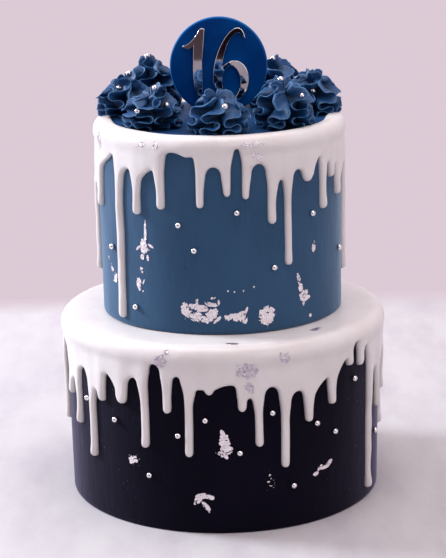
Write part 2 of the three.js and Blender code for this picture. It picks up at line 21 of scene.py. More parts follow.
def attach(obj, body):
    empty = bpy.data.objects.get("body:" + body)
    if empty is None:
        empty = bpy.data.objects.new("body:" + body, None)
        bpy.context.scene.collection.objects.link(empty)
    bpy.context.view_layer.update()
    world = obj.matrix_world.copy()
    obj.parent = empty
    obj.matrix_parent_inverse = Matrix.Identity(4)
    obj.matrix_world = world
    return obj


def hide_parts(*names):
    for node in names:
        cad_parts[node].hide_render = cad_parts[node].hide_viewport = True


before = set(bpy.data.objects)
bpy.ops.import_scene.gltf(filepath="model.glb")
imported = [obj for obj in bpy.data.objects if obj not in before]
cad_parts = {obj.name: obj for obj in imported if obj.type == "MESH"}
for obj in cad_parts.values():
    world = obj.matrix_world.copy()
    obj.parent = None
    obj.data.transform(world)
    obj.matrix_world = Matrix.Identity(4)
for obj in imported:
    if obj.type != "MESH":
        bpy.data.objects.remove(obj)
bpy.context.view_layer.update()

BODY = "root"
MM = 0.001
EMBED = 0.3  # how deep a layer's edge reaches into what it lies on

log = logging.getLogger("drip_cake")

Array = np.ndarray
Material = bpy.types.Material
Object = bpy.types.Object
Socket = bpy.types.NodeSocket
Pair = tuple[float, float]
Triple = tuple[float, float, float]
Colour = Triple
Key = tuple[int, ...]
Outlines = list[list[list[Pair]]]  # for each point its place between both handles


# Drips across the front: bearing, height of the tip above the tier's foot, then the bearing and
# height of the arch to the right of it. The drip's width may follow, and then, for an arch that
# slopes, how far its left and right halves fall away from the peak before they round down, and
# the height of that rounding, or 0 where it is as usual.
LOWER_FRONT_DRIPS = (
    (-87, 46, -81, 108), (-70, 74, -66, 87), (-62.7, 57, -57.3, 98, 6.2, 0, 4, 4),
    (-53, 39, -50, 87), (-47, 80, -43.9, 100, 6.2, 0, 6, 4), (-37.5, 82, -32, 101, 8),
    (-28.2, 55, -24.2, 112), (-19.7, 80, -15.8, 105), (-12.2, 52, -8.6, 98),
    (-5, 96, 2.6, 100, 7, 3, 0, 0), (6, 82, 8.9, 91), (11.7, 58, 16.2, 97), (21, 42, 26, 92),
    (30, 70, 37.7, 97, 6.2, 7, 0, 5), (40, 78, 46.8, 106, 6.2, 9, 0, 4), (49, 100, 52.4, 115),
    (55.6, 97, 60, 109), (63, 7, 68, 90), (72, 60, 80, 98), (87, 63, 90.6, 95), (94, 33, 99, 96),
)
UPPER_FRONT_DRIPS = (
    (-90, 25, -81, 87), (-72, 74, -57.8, 112, 6.2, 9, 0, 3.5), (-52.3, 4, -45, 104, 6.6),
    (-40.4, 75, -31.5, 105, 6.2, 4.5, 0, 3.5), (-27.3, 80, -21.4, 117, 6.2, 0, 0, 2.6),
    (-9, 82, -3, 108, 5.6), (3, 89, 7.6, 120, 5.2), (11.2, 87, 17.2, 109, 5.2),
    (23.3, 70, 28, 98), (31.3, 42, 36.9, 103, 5.6), (42.4, 94, 50.4, 109, 8, 7, 0, 4),
    (53.3, 74, 57, 104, 6.6), (60.3, 93, 63.7, 101, 5.4), (67.7, 80, 77, 98, 6.2, 5, 0, 4),
    (90, 22, 95.5, 100),
)

# Small waves of the edge between drips: bearing, depth and half width in degrees
LOWER_WAVES = ((-4.6, 2.6, 4.2), (76, 5, 3))
UPPER_WAVES = ((-15.2, 2.4, 3.4), (-61, 1.5, 4), (73, 3, 3))

# Inner edge of the upper ganache ring: bearing and radius, eased in between
RING_EDGE = (
    (-180, 72), (-120, 70.5), (-80, 71.5), (-60, 73.5), (-35, 74.5), (-5, 75.8), (12, 75.2),
    (33, 75.9), (55, 74.5), (80, 71.5), (130, 73),
)

# Pearls on the sides of the tiers: bearing and height above the tier's foot
LOWER_PEARLS = (
    (-56.5, 78), (-41, 70), (-27, 37), (-16, 66), (-6.5, 77), (5, 55), (16.3, 80), (24, 29),
    (33.3, 68), (41.5, 59), (52, 90), (71, 43),
)
UPPER_PEARLS = (
    (-60, 50), (-43, 14), (-19, 71), (-12, 55), (7, 79), (24, 42), (45.5, 73), (71.5, 43),
)

# Piped swirls: node, x, y, full height, how pointed the top is, and the seed of its folds
SWIRLS = (
    ("swirl_front", -0.5, -57, 28, 0.1, 145), ("swirl_front_left", -43, -35, 29, 0.1, 143),
    ("swirl_left", -62, 8, 30.5, 0.1, 119), ("swirl_back_left", -45, 44, 38, 0.15, 168),
    ("swirl_back", 0, 57, 31, 0.1, 175), ("swirl_back_right", 40, 43, 36.5, 0.1, 205),
    ("swirl_right", 63, 9, 30, 0.1, 163), ("swirl_front_right", 42, -39, 31.5, 0, 155),
)


@dataclass(frozen=True)
class TopDip:
    """The top of the cake is not quite level: it dips to the front and stands up at the sides."""

    front: float = -1.7
    rest: float = 0.6
    start: float = 5.0  # the dip runs from this far in front of the axis
    end: float = 78.0
    low: float = 240.0  # nothing moves below this height
    high: float = 252.0

    def amount(self, y: Array | float) -> Array:
        """Returns how far the top moves up at a place from front to back."""
        share = smoothstep(-np.asarray(y), self.start, self.end)
        return self.rest + (self.front - self.rest) * share

    def apply(self, points: Array) -> Array:
        """Returns the points with their heights moved, in full only at the top."""
        moved = np.array(points, float)
        share = smoothstep(moved[..., 2], self.low, self.high)
        moved[..., 2] += self.amount(moved[..., 1]) * share
        return moved


@dataclass(frozen=True)
class LeafPatch:
    """One torn patch of leaf: where it lies and the ellipse that it fills."""

    bearing: float
    place: float  # height above z = 0 on a side, or radius on a top
    width: float
    height: float
    tilt: float = 0.0
    body: float = 0.55  # how solid the patch is, from 0, specks, to 1, whole
    on_top: bool = False


def leaf_patches(*rows: Sequence[float], on_top: bool = False) -> tuple[LeafPatch, ...]:
    """Reads patches from rows of numbers, in the order of a patch's own values."""
    return tuple(LeafPatch(*row, on_top=on_top) for row in rows)


UPPER_TIER_LEAF = leaf_patches(
    # The long one on the left
    (-36.4, 189.5, 2, 14, -2, 0.8), (-37.6, 180, 6.2, 9, 8, 0.8), (-41.2, 178.4, 5, 1.6, 36, 0.8),
    (-33.6, 181, 5.5, 1.6, -22, 0.8), (-34.5, 177.3, 3, 4, 0, 0.4),
    (-38.6, 172.9, 3.4, 3.6, 0, 0.9), (-35.4, 173.1, 1.9, 3.6, 10, 0.8),
    (-39.2, 164.7, 3.6, 4.4, 20, 0.45), (-41.2, 154.6, 4.6, 7.6, 10, 0.75),
    (-38.4, 156.8, 1.7, 4.5, -25, 0.75), (-38.9, 150.4, 1.8, 1.3, 10, 0.8),
    (-62, 160, 4, 6, 20, 0.6), (-66, 166, 3, 3, 0, 0.5), (-59, 154, 6, 8, -30, 0.4),
    # The wide one low on the front
    (-17, 141.4, 5.6, 9.5, 14, 0.72), (-10.8, 143, 15, 4.4, -8, 0.74),
    (-11.6, 137, 17, 5.4, -15, 0.78), (-5.2, 138.2, 11.5, 6, 32, 0.8),
    (-5.1, 145.3, 11, 2.6, -6, 0.72), (-1.6, 146.6, 1.7, 3.2, 0, 0.8),
    (-11.5, 147.2, 1.9, 4.6, 0, 0.8), (-4.1, 149.5, 3.8, 1.6, 10, 0.8),
    (-2.3, 135.3, 6.8, 2.1, 38, 0.85),
    # Its neighbours
    (5.3, 136.7, 15, 4.8, 0, 0.74), (9.4, 134.6, 6.4, 4, -20, 0.66),
    (8.7, 139.3, 5.4, 2.3, 14, 0.78), (10.7, 140.6, 2, 5, -22, 0.75),
    (20.6, 136.5, 11.4, 11.2, 0, 0.85), (2.6, 154, 1.2, 1.2, 0, 0.8), (5.5, 153.3, 1.3, 1, 0, 0.8),
    (9.6, 153.7, 1.1, 1.3, 0, 0.8), (14.4, 155.9, 1, 1, 0, 0.8),
    # On the right
    (37.8, 156, 2.8, 9, 22, 0.85), (38.6, 151, 4, 5, 0, 0.75), (40.6, 145, 8.6, 7.6, 0, 0.6),
    (40.4, 140.9, 2.3, 4.2, 0, 0.85), (43.3, 143.6, 3.6, 2.3, 0, 0.8),
    (44.7, 130.7, 2.6, 2.4, 0, 0.8), (47.3, 175.5, 4, 8, 0, 0.6),
)
LOWER_TIER_LEAF = leaf_patches(
    (-34, 45, 8, 8, 20, 0.3),
    # A flame in the middle
    (-0.7, 67, 2.5, 6.5, 8, 0.85), (0, 61.8, 5.4, 9.5, 8, 0.9), (0.5, 57, 6.2, 6, 0, 0.85),
    (-1.3, 54.4, 4.2, 3.4, -30, 0.7), (0.2, 52.6, 1.8, 3.4, 25, 0.85),
    # A hook below it on the left
    (-9.8, 22.3, 3.6, 6.4, -25, 0.78), (-7.9, 25.8, 7.2, 3.4, 10, 0.9),
    (-5.6, 25, 4.8, 2.8, -15, 0.9), (-6.9, 18.8, 2.6, 6.6, 36, 0.85),
    (-5.9, 16.1, 1.7, 3.2, 0, 0.85),
    # On the right
    (15, 34.8, 6, 11, 0, -0.2), (33.3, 33.2, 3.4, 2.6, 20, 0.8), (35.4, 36, 4.6, 4.4, 0, 0.5),
    (38.7, 37.6, 6.8, 2.9, 38, 0.9),
)
LOWER_GANACHE_LEAF = leaf_patches(
    (-21.5, 115, 8, 9, -30, 0.55), (-19, 121, 4, 4, 0, 0.35), (7.5, 110, 11, 11, 0, 0.6),
    (8.5, 98.5, 5, 8, 20, 0.5), (20.5, 117, 6, 9, 0, 0.55),
) + leaf_patches(
    (40, 93, 11, 7, 0, 0.35), (3, 101, 9, 4, 0, 0.35), on_top=True,
)
UPPER_GANACHE_LEAF = leaf_patches(
    (-68, 244, 8, 13, 0, 0.5), (-36, 246, 9, 7, 0, 0.05), (-28.5, 246, 6, 5, 0, 0.15),
    (14, 247, 20, 4.6, 0, 0.5), (16.2, 239.3, 8, 4.6, -28, 0.8), (13.5, 233.5, 2.4, 2, 0, 0.5),
)


def smoothstep(value: Array | float, low: float, high: float) -> Array:
    """Eases values from 0 at low to 1 at high."""
    share = np.clip((np.asarray(value, float) - low) / (high - low), 0, 1)
    return share * share * (3 - 2 * share)


def wrap(bearing: Array | float) -> Array | float:
    """Brings bearings between -180 and 180."""
    return (bearing + 180) % 360 - 180


def around(bearing: Array | float, radius: Array | float, z: Array | float) -> Array:
    """Turns bearings in degrees, radii and heights into points, one row each."""
    angle = np.radians(bearing)
    return np.stack(np.broadcast_arrays(radius * np.sin(angle), -radius * np.cos(angle), z), -1)


def unevenness(points: Array, size: float, seed: float) -> Array:
    """Returns smooth noise from about -1 to 1 at each point, with features of a size."""
    return np.array([noise.noise(Vector(p) / size + Vector((seed, seed, seed))) for p in points])


@dataclass(frozen=True)
class Ripples:
    """Smooth unevenness of a surface, in millimetres."""

    depth: float
    size: float
    seed: float = 0.0
    stretch: Triple = (1, 1, 1)  # below 1 where they are longer

    def at(self, points: Array, shift: float = 0.0) -> Array:
        """Returns how far the surface moves at each point, with the seed shifted if need be."""
        stretched = points * np.array(self.stretch)
        return self.depth * unevenness(stretched, self.size, self.seed + shift)


class DrawnRandom:
    """The random draws that the solids use, so that the unseen back comes out the same."""

    FACTOR = 1664525
    STEP = 1013904223
    RANGE = 2 ** 32

    def __init__(self, seed: int) -> None:
        """Starts the draws from a seed."""
        self.state = seed

    def draw(self) -> float:
        """Returns the next number from 0 to 1."""
        self.state = (self.state * self.FACTOR + self.STEP) % self.RANGE
        return self.state / self.RANGE

    def between(self, low: float, high: float) -> float:
        """Returns the next number between two limits."""
        return low + (high - low) * self.draw()


def add_object(name: str, data: bpy.types.ID) -> Object:
    """Makes an object of a mesh, curve, light or camera and links it to the scene."""
    made = bpy.data.objects.new(name, data)
    bpy.context.scene.collection.objects.link(made)
    return made


class MeshBuilder:
    """Gathers rings, strips and faces in millimetres, and makes one object of them."""

    def __init__(self) -> None:
        """Starts with nothing in it."""
        self.points: list[Array] = []
        self.faces: list[Key] = []
        self.count = 0

    def add(self, points: Array) -> Array:
        """Adds points and returns their indices."""
        flat = np.asarray(points, float).reshape(-1, 3)
        self.points.append(flat)
        self.count += len(flat)
        return np.arange(self.count - len(flat), self.count)

    def ladder(self, rings: Sequence[Array]) -> None:
        """Joins closed rings of equal length, each to the next."""
        for low, high in zip(rings, rings[1:]):
            for four in zip(low, np.roll(low, -1), np.roll(high, -1), high):
                self.faces.append(tuple(map(int, four)))

    def cap(self, ring: Array, centre: Array, outward_up: bool) -> None:
        """Closes a ring onto one point."""
        middle = int(self.add(centre)[0])
        for a, b in zip(ring, np.roll(ring, -1)):
            self.faces.append((int(a), int(b), middle) if outward_up else (int(b), int(a), middle))

    def stack(self, rings: Sequence[Array], low: Array, high: Array) -> None:
        """Adds rings, joins each to the next and closes the first and the last onto points."""
        placed = [self.add(ring) for ring in rings]
        self.ladder(placed)
        self.cap(placed[0], low, False)
        self.cap(placed[-1], high, True)

    def make(self, name: str, material: Material, smooth: bool = True, weld: float = 0.0,
             values: dict[str, Array] | None = None) -> Object:
        """Makes an object in metres.

        Args:
            name: The object's name.
            material: Its finish.
            smooth: Whether its faces are shaded smooth.
            weld: Points closer than this, in millimetres, become one.
            values: Named numbers for each point, kept as attributes.

        Returns:
            The object, linked to the scene.
        """
        mesh = bpy.data.meshes.new(name)
        mesh.from_pydata((np.concatenate(self.points) * MM).tolist(), [], self.faces)
        for key, numbers in (values or {}).items():
            mesh.attributes.new(key, "FLOAT", "POINT").data.foreach_set("value", numbers)
        if weld:
            shape = bmesh.new()
            shape.from_mesh(mesh)
            bmesh.ops.remove_doubles(shape, verts=shape.verts, dist=weld * MM)
            shape.to_mesh(mesh)
            shape.free()
        mesh.validate()
        mesh.polygons.foreach_set("use_smooth", [smooth] * len(mesh.polygons))
        mesh.materials.append(material)
        return add_object(name, mesh)


def settle(piece: Object, nodes: Sequence[str]) -> None:
    """Gives a piece its body and hides the nodes that it stands for.

    Args:
        piece: The piece.
        nodes: The nodes that the piece replaces.
    """
    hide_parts(*nodes)
    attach(piece, BODY)
    log.info("%s: %d faces", piece.name, len(piece.data.polygons))


class NodeGraph:
    """A material's nodes, with short calls for the ones that the finishes use."""

    MIX_COLOURS = (6, 7)  # inputs of the mix node that take colours
    MIX_RESULT = 2  # and its output for a colour

    def __init__(self, name: str) -> None:
        """Starts a material of one shader."""
        self.material = bpy.data.materials.new(name)
        self.material.use_nodes = True
        self.tree = self.material.node_tree
        self.shader = self.tree.nodes["Principled BSDF"]

    def node(self, kind: str, **inputs: object) -> bpy.types.Node:
        """Adds a node and sets its inputs by name, with _ for a space."""
        made = self.tree.nodes.new(kind)
        for name, value in inputs.items():
            self.feed(made.inputs[name.replace("_", " ")], value)
        return made

    def feed(self, socket: Socket, value: object) -> None:
        """Links a socket to another one, or sets its value."""
        if isinstance(value, Socket):
            self.tree.links.new(value, socket)
        else:
            socket.default_value = value

    def place(self, stretch: Triple = (1, 1, 1)) -> Socket:
        """Returns the place on the object, stretched along the axes."""
        coordinates = self.node("ShaderNodeTexCoord").outputs["Object"]
        if stretch == (1, 1, 1):
            return coordinates
        return self.node("ShaderNodeMapping", Vector=coordinates, Scale=stretch).outputs["Vector"]

    def noise(self, size: float, detail: float = 2.0, rough: float = 0.5,
              stretch: Triple = (1, 1, 1)) -> Socket:
        """Returns noise from 0 to 1.

        Args:
            size: Size of its features in millimetres.
            detail: Number of finer layers.
            rough: Strength of the finer layers.
            stretch: Scale along each axis, below 1 for longer features.

        Returns:
            The noise's output.
        """
        made = self.node("ShaderNodeTexNoise", Vector=self.place(stretch), Scale=1 / (size * MM),
                         Detail=detail, Roughness=rough)
        return made.outputs["Fac"]

    def cells(self, size: float, stretch: Triple = (1, 1, 1)) -> Socket:
        """Returns the distance to the nearest of scattered points, size in millimetres."""
        made = self.node("ShaderNodeTexVoronoi", Vector=self.place(stretch), Scale=1 / (size * MM))
        return made.outputs["Distance"]

    def attribute(self, name: str) -> Socket:
        """Returns one of the mesh's named numbers."""
        made = self.tree.nodes.new("ShaderNodeAttribute")
        made.attribute_name = name
        return made.outputs["Fac"]

    def remap(self, value: Socket, low: float, high: float, start: float = 0.0,
              end: float = 1.0) -> Socket:
        """Turns the range from low to high into the range from start to end."""
        made = self.tree.nodes.new("ShaderNodeMapRange")
        for index, number in enumerate((value, low, high, start, end)):
            self.feed(made.inputs[index], number)
        return made.outputs["Result"]

    def math(self, operation: str, a: object, b: object = 0.0) -> Socket:
        """Returns the result of one sum on two values."""
        made = self.tree.nodes.new("ShaderNodeMath")
        made.operation = operation
        self.feed(made.inputs[0], a)
        self.feed(made.inputs[1], b)
        return made.outputs["Value"]

    def product(self, a: object, b: object) -> Socket:
        """Returns two values multiplied."""
        return self.math("MULTIPLY", a, b)

    def blend(self, share: object, a: object, b: object) -> Socket:
        """Mixes two colours by a share."""
        made = self.tree.nodes.new("ShaderNodeMix")
        made.data_type = "RGBA"
        self.feed(made.inputs["Factor"], share)
        for index, value in zip(self.MIX_COLOURS, (a, b)):
            self.feed(made.inputs[index], (*value, 1) if isinstance(value, tuple) else value)
        return made.outputs[self.MIX_RESULT]

    def bump(self, height: Socket, depth: float, below: Socket | None = None) -> Socket:
        """Raises a height map of a depth in millimetres, over another bump if there is one."""
        made = self.node("ShaderNodeBump", Height=height, Strength=1.0, Distance=depth * MM)
        if below is not None:
            self.feed(made.inputs["Normal"], below)
        return made.outputs["Normal"]

    def finish(self, **inputs: object) -> Material:
        """Sets the shader's inputs, with _ for a space, and returns the material."""
        for name, value in inputs.items():
            self.feed(self.shader.inputs[name.replace("_", " ")], value)
        return self.material


@dataclass(frozen=True)
class SmoothIcing:
    """Buttercream drawn smooth with a scraper: fine upright strokes and a few burst bubbles, dented
    and with painted shade in them.
    """

    name: str
    colour: Colour
    pale: Colour
    bubbles: float  # share of the surface where bubbles show
    shine: float  # strength of its highlights
    velvet: float  # strength of the soft bloom on surfaces seen at a slant
    bloom: Colour = (0.82, 0.84, 1.0)
    roughness: float = 0.5
    cloud_size: float = 34.0
    stroke_size: float = 1.6
    stroke_depth: float = 0.11
    wave_size: float = 7.0
    wave_depth: float = 0.25
    bubble_spacing: float = 4.2
    bubble_depth: float = 0.2
    bubble_shade: float = 0.35  # painted shade in a bubble, as a share of the icing's colour

    def make(self) -> Material:
        """Returns the icing's material."""
        graph = NodeGraph(self.name)
        cloudy = graph.remap(graph.noise(self.cloud_size, 3, 0.55, (1, 1, 0.6)), 0.36, 0.68)
        strokes = graph.noise(self.stroke_size, 3, 0.6, (1, 1, 0.16))
        tone = graph.blend(graph.product(cloudy, 0.6), self.colour, self.pale)
        tone = graph.blend(graph.remap(strokes, 0.4, 0.75, 0.0, 0.35), tone, self.pale)
        where = graph.remap(graph.noise(26, 2), 0.62 - self.bubbles, 0.66 - self.bubbles)
        burst = graph.remap(graph.cells(self.bubble_spacing, (1, 1, 0.7)), 0.07, 0.13, 1.0, 0.0)
        burst = graph.product(burst, where)
        # Painted shade in the burst bubbles
        shade = tuple(self.bubble_shade * c for c in self.colour)
        tone = graph.blend(graph.product(burst, 0.8), tone, shade)
        normal = graph.bump(graph.noise(self.wave_size, 2, 0.5, (1, 1, 0.35)), self.wave_depth)
        normal = graph.bump(strokes, self.stroke_depth, normal)
        normal = graph.bump(graph.math("SUBTRACT", 1.0, burst), self.bubble_depth, normal)
        return graph.finish(
            Base_Color=tone, Roughness=self.roughness, Specular_IOR_Level=self.shine,
            Subsurface_Weight=0.08, Subsurface_Radius=(0.002, 0.002, 0.003), Normal=normal,
            Sheen_Weight=self.velvet, Sheen_Roughness=0.35, Sheen_Tint=(*self.bloom, 1))


@dataclass(frozen=True)
class PouredGanache:
    """Set white ganache: soft sheen, faint warm clouds, and painted shade in a few pin holes."""

    name: str = "ganache"
    colour: Colour = (0.72, 0.70, 0.685)
    warm: Colour = (0.68, 0.645, 0.625)
    # painted shade in the pin holes
    hole_shade: Colour = (0.5, 0.45, 0.42)
    cloud_size: float = 22.0
    hole_spacing: float = 9.0
    wave_size: float = 9.0
    wave_depth: float = 0.42
    grain_size: float = 1.1
    grain_depth: float = 0.05

    def make(self) -> Material:
        """Returns the ganache's material."""
        graph = NodeGraph(self.name)
        clouds = graph.remap(graph.noise(self.cloud_size, 3, 0.5), 0.4, 0.72)
        tone = graph.blend(clouds, self.colour, self.warm)
        # Painted shade in a few pin holes, which have no dent
        holes = graph.remap(graph.cells(self.hole_spacing), 0.03, 0.05, 1.0, 0.0)
        where = graph.remap(graph.noise(31, 2), 0.58, 0.62)
        tone = graph.blend(graph.product(holes, where), tone, self.hole_shade)
        normal = graph.bump(graph.noise(self.wave_size, 2, 0.4), self.wave_depth)
        normal = graph.bump(graph.noise(self.grain_size, 2), self.grain_depth, normal)
        return graph.finish(
            Base_Color=tone, Roughness=0.34, Specular_IOR_Level=0.45, Subsurface_Weight=0.18,
            Subsurface_Radius=(0.004, 0.003, 0.0025), Coat_Weight=0.12, Coat_Roughness=0.25,
            Normal=normal)


@dataclass(frozen=True)
class PipedIcing:
    """Piped buttercream, with painted highlights on the fins' thin edges and painted shade in the
    valleys between the fins.
    """

    name: str = "piped_icing"
    colour: Colour = (0.0100, 0.054, 0.148)
    # painted highlight colour on the fins' thin edges
    edge: Colour = (0.07, 0.22, 0.43)
    pale: float = 1.7  # colour of its clouds as a share of the icing's
    shade: float = 0.3  # and of the painted shade in the valleys between the fins
    highlight_share: float = 0.68  # how much of the painted edge highlight shows at a thin edge
    wave_size: float = 2.1
    wave_depth: float = 0.16
    grain_size: float = 0.9
    grain_depth: float = 0.3

    def make(self) -> Material:
        """Returns the piped icing's material."""
        graph = NodeGraph(self.name)
        # Painted highlight on the thin edges and painted shade in the valleys, both from the
        # swirl's nearness to a fin's edge
        thin = graph.remap(graph.attribute("edge"), 0.95, 1.0)
        unshaded_share = graph.remap(graph.attribute("edge"), 0.05, 0.7, 0.2, 1.0)
        clouds = graph.remap(graph.noise(8, 2), 0.35, 0.7, 0.0, 0.4)
        tone = graph.blend(clouds, self.colour, tuple(self.pale * c for c in self.colour))
        tone = graph.blend(unshaded_share, tuple(self.shade * c for c in self.colour), tone)
        tone = graph.blend(graph.product(thin, self.highlight_share), tone, self.edge)
        normal = graph.bump(graph.noise(self.wave_size, 2, 0.5), self.wave_depth)
        normal = graph.bump(graph.noise(self.grain_size, 3, 0.6), self.grain_depth, normal)
        return graph.finish(
            Base_Color=tone, Roughness=0.45, Specular_IOR_Level=0.3, Subsurface_Weight=0.02,
            Subsurface_Radius=(0.0015, 0.002, 0.003), Normal=normal)


@dataclass(frozen=True)
class DiscFinish:
    """Smooth royal blue disc with a soft satin sheen and a painted highlight round its rounded
    edge.
    """

    name: str = "topper_blue"
    colour: Colour = (0.0001, 0.034, 0.165)
    pale: Colour = (0.0002, 0.056, 0.225)
    # painted highlight colour on the rounded edge
    edge: Colour = (0.002, 0.13, 0.38)
    cloud_size: float = 30.0
    smear_size: float = 6.0
    grain_size: float = 2.4
    grain_depth: float = 0.015

    def make(self) -> Material:
        """Returns the disc's material."""
        graph = NodeGraph(self.name)
        clouds = graph.remap(graph.noise(self.cloud_size, 3), 0.4, 0.65)
        tone = graph.blend(clouds, self.colour, self.pale)
        # Painted highlight on the rounded edge
        tone = graph.blend(graph.remap(graph.attribute("edge"), 0.3, 1.0), tone, self.edge)
        rough = graph.remap(graph.noise(self.smear_size, 3), 0.3, 0.7, 0.3, 0.42)
        normal = graph.bump(graph.noise(self.grain_size, 2), self.grain_depth)
        return graph.finish(Base_Color=tone, Roughness=rough, Specular_IOR_Level=0.06,
                            Normal=normal)


@dataclass(frozen=True)
class SilverFinish:
    """Silver, from mirror bright to soft and crumpled, and where asked for a painted darker
    reflection on the parts that the mesh marks.
    """

    name: str
    colour: Colour
    metallic: float
    roughness: float
    crumple: float  # depth of its creases in millimetres
    painted_dark_reflection: Colour | None = None  # colour of its painted darker reflection, where the mesh says so
    dulled: float = 0.86  # colour of its clouds as a share of the silver's
    spread: float = 0.2  # how far the roughness strays to both sides, as a share

    def make(self) -> Material:
        """Returns the silver's material."""
        graph = NodeGraph(self.name)
        cloud = tuple(self.dulled * c for c in self.colour)
        tone = graph.blend(graph.remap(graph.noise(3.1, 3), 0.4, 0.7), self.colour, cloud)
        creases = graph.noise(1.3, 4, 0.7)
        if self.painted_dark_reflection:
            # Painted darker reflection, in patches, where the mesh marks it
            patchy = graph.remap(graph.noise(1.7, 3, 0.6), 0.35, 0.62, 0.35, 1.0)
            share = graph.product(patchy, graph.attribute("reflection_shade"))
            tone = graph.blend(share, tone, self.painted_dark_reflection)
        rough = graph.remap(creases, 0.3, 0.7, self.roughness * (1 - self.spread),
                            self.roughness * (1 + self.spread))
        normal = graph.bump(creases, self.crumple)
        return graph.finish(Base_Color=tone, Metallic=self.metallic, Roughness=rough,
                            Normal=normal)


@dataclass(frozen=True)
class FloorFinish:
    """Pale matt floor with faint clouds, which fades into the wall's colour at its far end."""

    sky: Colour
    name: str = "pale_floor"
    fade: Pair = (0.425, 0.494)  # from front to back, in metres
    colour: Colour = (0.51, 0.495, 0.505)
    cloud: Colour = (0.43, 0.405, 0.43)

    def make(self) -> Material:
        """Returns the floor's material."""
        graph = NodeGraph(self.name)
        clouds = graph.remap(graph.noise(55, 5, 0.65, (1, 0.4, 1)), 0.42, 0.7)
        tone = graph.blend(clouds, self.colour, self.cloud)
        back = graph.node("ShaderNodeSeparateXYZ", Vector=graph.place()).outputs["Y"]
        far = graph.remap(back, *self.fade)
        eased = graph.math("SUBTRACT", 3.0, graph.product(2.0, far))
        far = graph.product(graph.product(far, far), eased)
        return graph.finish(Base_Color=graph.blend(far, tone, (0.0, 0.0, 0.0)), Roughness=0.8,
                            Specular_IOR_Level=0.1, Emission_Color=(*self.sky, 1),
                            Emission_Strength=far)


@dataclass
class PhotoCamera:
    """The camera that the photograph was taken with, fitted to the rims of both tiers."""

    distance: float = 1.0587  # in front of the cake's axis, in metres
    height: float = 0.4086
    pitch: float = 14.158  # degrees below the horizon
    yaw: float = 0.04
    roll: float = -1.08
    focal_px: float = 1599.1
    frame_px: tuple[int, int] = (446, 558)
    sensor: float = 36.0

    def axes(self) -> tuple[Array, Array, Array]:
        """Returns the camera's right, up and forward directions."""
        pitch, yaw, roll = map(math.radians, (self.pitch, self.yaw, self.roll))
        forward = np.array((math.sin(yaw) * math.cos(pitch), math.cos(yaw) * math.cos(pitch),
                            -math.sin(pitch)))
        level = np.array((math.cos(yaw), -math.sin(yaw), 0))
        upright = np.cross(level, forward)
        right = math.cos(roll) * level + math.sin(roll) * upright
        up = math.cos(roll) * upright - math.sin(roll) * level
        return right, up, forward

    def ray(self, x: float, y: float) -> tuple[Vector, Vector]:
        """Returns where the sight line through a pixel starts, in metres, and its direction."""
        right, up, forward = self.axes()
        across = (x - self.frame_px[0] / 2) / self.focal_px
        upward = (self.frame_px[1] / 2 - y) / self.focal_px
        direction = Vector(forward + across * right + upward * up).normalized()
        return Vector((0, -self.distance, self.height)), direction

    def build(self) -> None:
        """Makes the camera and sets it as the scene's."""
        data = bpy.data.cameras.new("camera")
        data.sensor_fit = "VERTICAL"
        data.sensor_width = data.sensor_height = self.sensor
        data.lens = self.sensor * self.focal_px / self.frame_px[1]
        made = add_object("camera", data)
        right, up, forward = self.axes()
        turned = Matrix(np.stack((right, up, -forward), 1).tolist()).to_4x4()
        made.matrix_world = Matrix.Translation((0, -self.distance, self.height)) @ turned
        bpy.context.scene.camera = made


@dataclass(frozen=True)
class SoftLamp:
    """A square soft light that looks at the cake's middle."""

    name: str
    bearing: float
    rise: float  # degrees above the horizon
    distance: float  # metres from the cake's middle
    size: float
    power: float  # watts
    colour: Colour
    aim: float = 0.16  # height that it looks at, in metres

    def build(self) -> None:
        """Adds the light."""
        data = bpy.data.lights.new(self.name, "AREA")
        data.size, data.energy, data.color = self.size, self.power, self.colour
        made = add_object(self.name, data)
        rise = math.radians(self.rise)
        target = Vector((0, 0, self.aim))
        made.location = target + Vector(around(
            self.bearing, self.distance * math.cos(rise), self.distance * math.sin(rise)))
        made.rotation_euler = (target - made.location).to_track_quat("-Z", "Y").to_euler()
        made.visible_camera = False


@dataclass(frozen=True)
class Sheet:
    """A flat sheet of the studio, from left to right and from its near to its far edge."""

    name: str
    left: float
    right: float
    near: Pair  # place from front to back, and height
    far: Pair

    def build(self, material: Material) -> Object:
        """Adds the sheet to the scene."""
        corners = [(self.left, *self.near), (self.right, *self.near),
                   (self.right, *self.far), (self.left, *self.far)]
        mesh = bpy.data.meshes.new(self.name)
        mesh.from_pydata(corners, [], [(0, 1, 2, 3)])
        mesh.materials.append(material)
        made = add_object(self.name, mesh)
        return made


